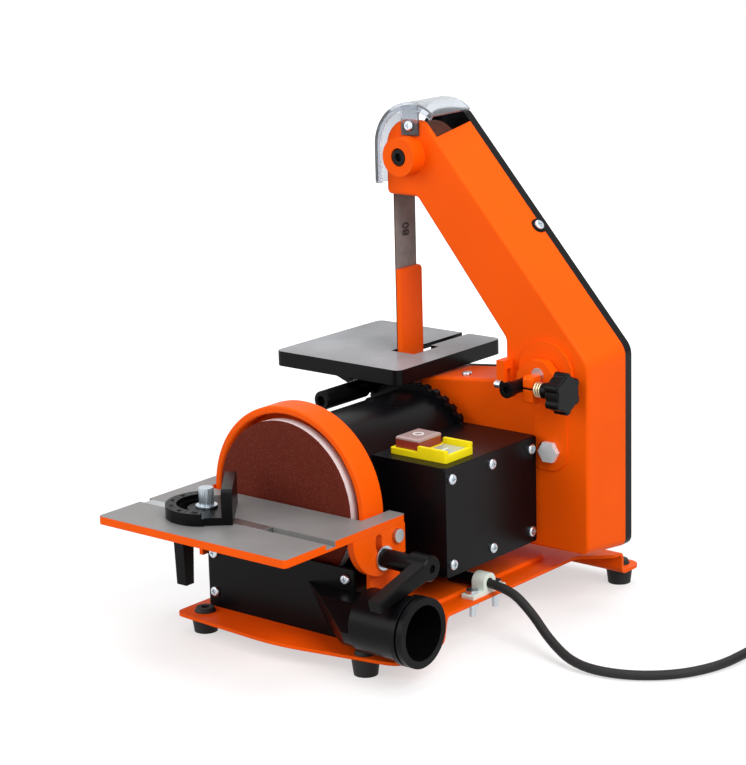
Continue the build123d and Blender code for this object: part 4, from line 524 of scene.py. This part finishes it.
def add_number(name, text, size, place, material, body):
    """A raised number with its own placing matrix."""
    curve = bpy.data.curves.new(name, "FONT")
    curve.body = text
    curve.size = size
    curve.align_x = "CENTER"
    curve.align_y = "CENTER"
    curve.extrude = MARK_RISE / 2
    piece = add_piece(name, curve, material, body)
    piece.matrix_world = place


def ring_mark(centre, radius, width):
    """Builder of a raised round mark."""

    def build(bm):
        inner = radius - width
        angles = [2 * pi * i / STOP_MARK_SIDES for i in range(STOP_MARK_SIDES)]
        rows = []
        for reach, rise in ((radius, 0), (radius, MARK_RISE), (inner, MARK_RISE), (inner, 0)):
            points = [centre + Vector((reach * cos(a), reach * sin(a), rise)) for a in angles]
            rows.append([bm.verts.new(point) for point in points])
        for one, two in zip(rows, rows[1:] + rows[:1]):
            for i in range(STOP_MARK_SIDES):
                j = (i + 1) % STOP_MARK_SIDES
                bm.faces.new((one[i], one[j], two[j], two[i]))

    return build


def bar_mark(centre, size):
    """Builder of a raised bar with rounded edges."""

    def build(bm):
        place = Matrix.Translation(centre + Vector((0, 0, MARK_RISE / 2)))
        bmesh.ops.create_cube(bm, size=1, matrix=place @ Matrix.Diagonal((*size, MARK_RISE, 1)))
        bmesh.ops.bevel(bm, geom=bm.edges[:], offset=MARK_RISE / 3, segments=2, profile=0.5, affect="EDGES")

    return build


def add_button_marks():
    """Round mark on the stop button and a bar on the start button."""
    stop = middle("stop_button")
    stop.z = STOP_TOP
    ring = ring_mark(stop, STOP_MARK_RADIUS, STOP_MARK_WIDTH)
    add_mark("stop_mark", ring, WHITE_MARK, "stop_button")
    start = middle("start_button")
    start.z = START_TOP
    bar = bar_mark(start, START_MARK_SIZE)
    add_mark("start_mark", bar, WHITE_MARK, "start_button")


def add_scale():
    """Raised numbers round the protractor head."""
    pivot = middle("mitre_knob")
    pivot.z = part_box("mitre_knob")[0].z + SCALE_RISE
    for number in SCALE_NUMBERS:
        angle = radians(SCALE_TURN + number)
        at = pivot + SCALE_MIDDLE * Vector((cos(angle), sin(angle), 0))
        place = Matrix.Translation(at) @ Matrix.Rotation(angle + pi / 2, 4, "Z")
        name = f"scale_{number}"
        text = str(abs(number))
        add_number(name, text, SCALE_NUMBER_SIZE, place, BLACK_GLOSS, "mitre_head")


def add_grit_number():
    """Number printed on the back of the belt, reading upwards over the platen."""
    low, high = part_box("platen")
    at = Vector((low.x + MARK_RISE, middle("abrasive_belt").y, high.z + GRIT_NUMBER_RISE))
    facing = Matrix(((0, 0, 1), (0, -1, 0), (1, 0, 0))).to_4x4()
    place = Matrix.Translation(at) @ facing
    add_number("grit_number", GRIT_NUMBER, GRIT_NUMBER_SIZE, place, PRINT, "frame")


def background_rays(tree):
    """1 for rays that show the background: straight, mirrored or through clear sheet."""
    rays = tree.nodes.new("ShaderNodeLightPath")
    total = rays.outputs["Is Camera Ray"]
    for kind in ("Is Glossy Ray", "Is Transmission Ray"):
        most = tree.nodes.new("ShaderNodeMath")
        most.operation = "MAXIMUM"
        tree.links.new(total, most.inputs[0])
        tree.links.new(rays.outputs[kind], most.inputs[1])
        total = most.outputs["Value"]
    return total


def add_floor():
    """Pale floor that keeps the shadow and fades to white away from the object."""
    mesh = bpy.data.meshes.new("floor")
    half = FLOOR_SIZE / 2
    corners = [(-half, -half, 0), (half, -half, 0), (half, half, 0), (-half, half, 0)]
    mesh.from_pydata(corners, [], [(0, 1, 2, 3)])
    floor = bpy.data.objects.new("floor", mesh)
    bpy.context.scene.collection.objects.link(floor)
    material = bpy.data.materials.new("floor_pale")
    material.use_nodes = True
    tree = material.node_tree
    shader = tree.nodes["Principled BSDF"]
    shader.inputs["Base Color"].default_value = (FLOOR_GREY, FLOOR_GREY, FLOOR_GREY, 1)
    shader.inputs["Roughness"].default_value = FLOOR_ROUGH
    shader.inputs["Specular IOR Level"].default_value = FLOOR_SHINE
    shader.inputs["Emission Color"].default_value = (1, 1, 1, 1)
    place = tree.nodes.new("ShaderNodeTexCoord")
    reach = tree.nodes.new("ShaderNodeVectorMath")
    reach.operation = "LENGTH"
    fade = tree.nodes.new("ShaderNodeMapRange")
    fade.inputs["From Min"].default_value = FLOOR_FADE[0]
    fade.inputs["From Max"].default_value = FLOOR_FADE[1]
    fade.inputs["To Min"].default_value = FLOOR_LIFT[0]
    fade.inputs["To Max"].default_value = FLOOR_LIFT[1]
    glow = tree.nodes.new("ShaderNodeMath")
    glow.operation = "MULTIPLY"
    tree.links.new(place.outputs["Object"], reach.inputs[0])
    tree.links.new(reach.outputs["Value"], fade.inputs["Value"])
    tree.links.new(fade.outputs["Result"], glow.inputs[0])
    tree.links.new(background_rays(tree), glow.inputs[1])
    tree.links.new(glow.outputs["Value"], shader.inputs["Emission Strength"])
    mesh.materials.append(material)


def add_light():
    """White surroundings, a soft sky and three area lamps."""
    world = bpy.data.worlds.new("studio")
    bpy.context.scene.world = world
    world.use_nodes = True
    tree = world.node_tree
    soft = tree.nodes["Background"]
    soft.inputs["Color"].default_value = (1, 1, 1, 1)
    soft.inputs["Strength"].default_value = SKY_STRENGTH
    white = tree.nodes.new("ShaderNodeBackground")
    white.inputs["Color"].default_value = (1, 1, 1, 1)
    mix = tree.nodes.new("ShaderNodeMixShader")
    tree.links.new(background_rays(tree), mix.inputs["Fac"])
    tree.links.new(soft.outputs["Background"], mix.inputs[1])
    tree.links.new(white.outputs["Background"], mix.inputs[2])
    tree.links.new(mix.outputs["Shader"], tree.nodes["World Output"].inputs["Surface"])
    for name, place, size, power in LAMPS:
        data = bpy.data.lights.new(name, "AREA")
        data.size = size
        data.energy = power
        lamp = bpy.data.objects.new(name, data)
        bpy.context.scene.collection.objects.link(lamp)
        lamp.location = place
        aim = LAMP_AIM - Vector(place)
        lamp.rotation_euler = aim.to_track_quat("-Z", "Y").to_euler()
    bpy.context.scene.view_settings.view_transform = "Standard"


add_camera()
add_cord(RUBBER)
dress_nodes()
add_button_marks()
add_scale()
add_grit_number()
add_floor()
add_light()
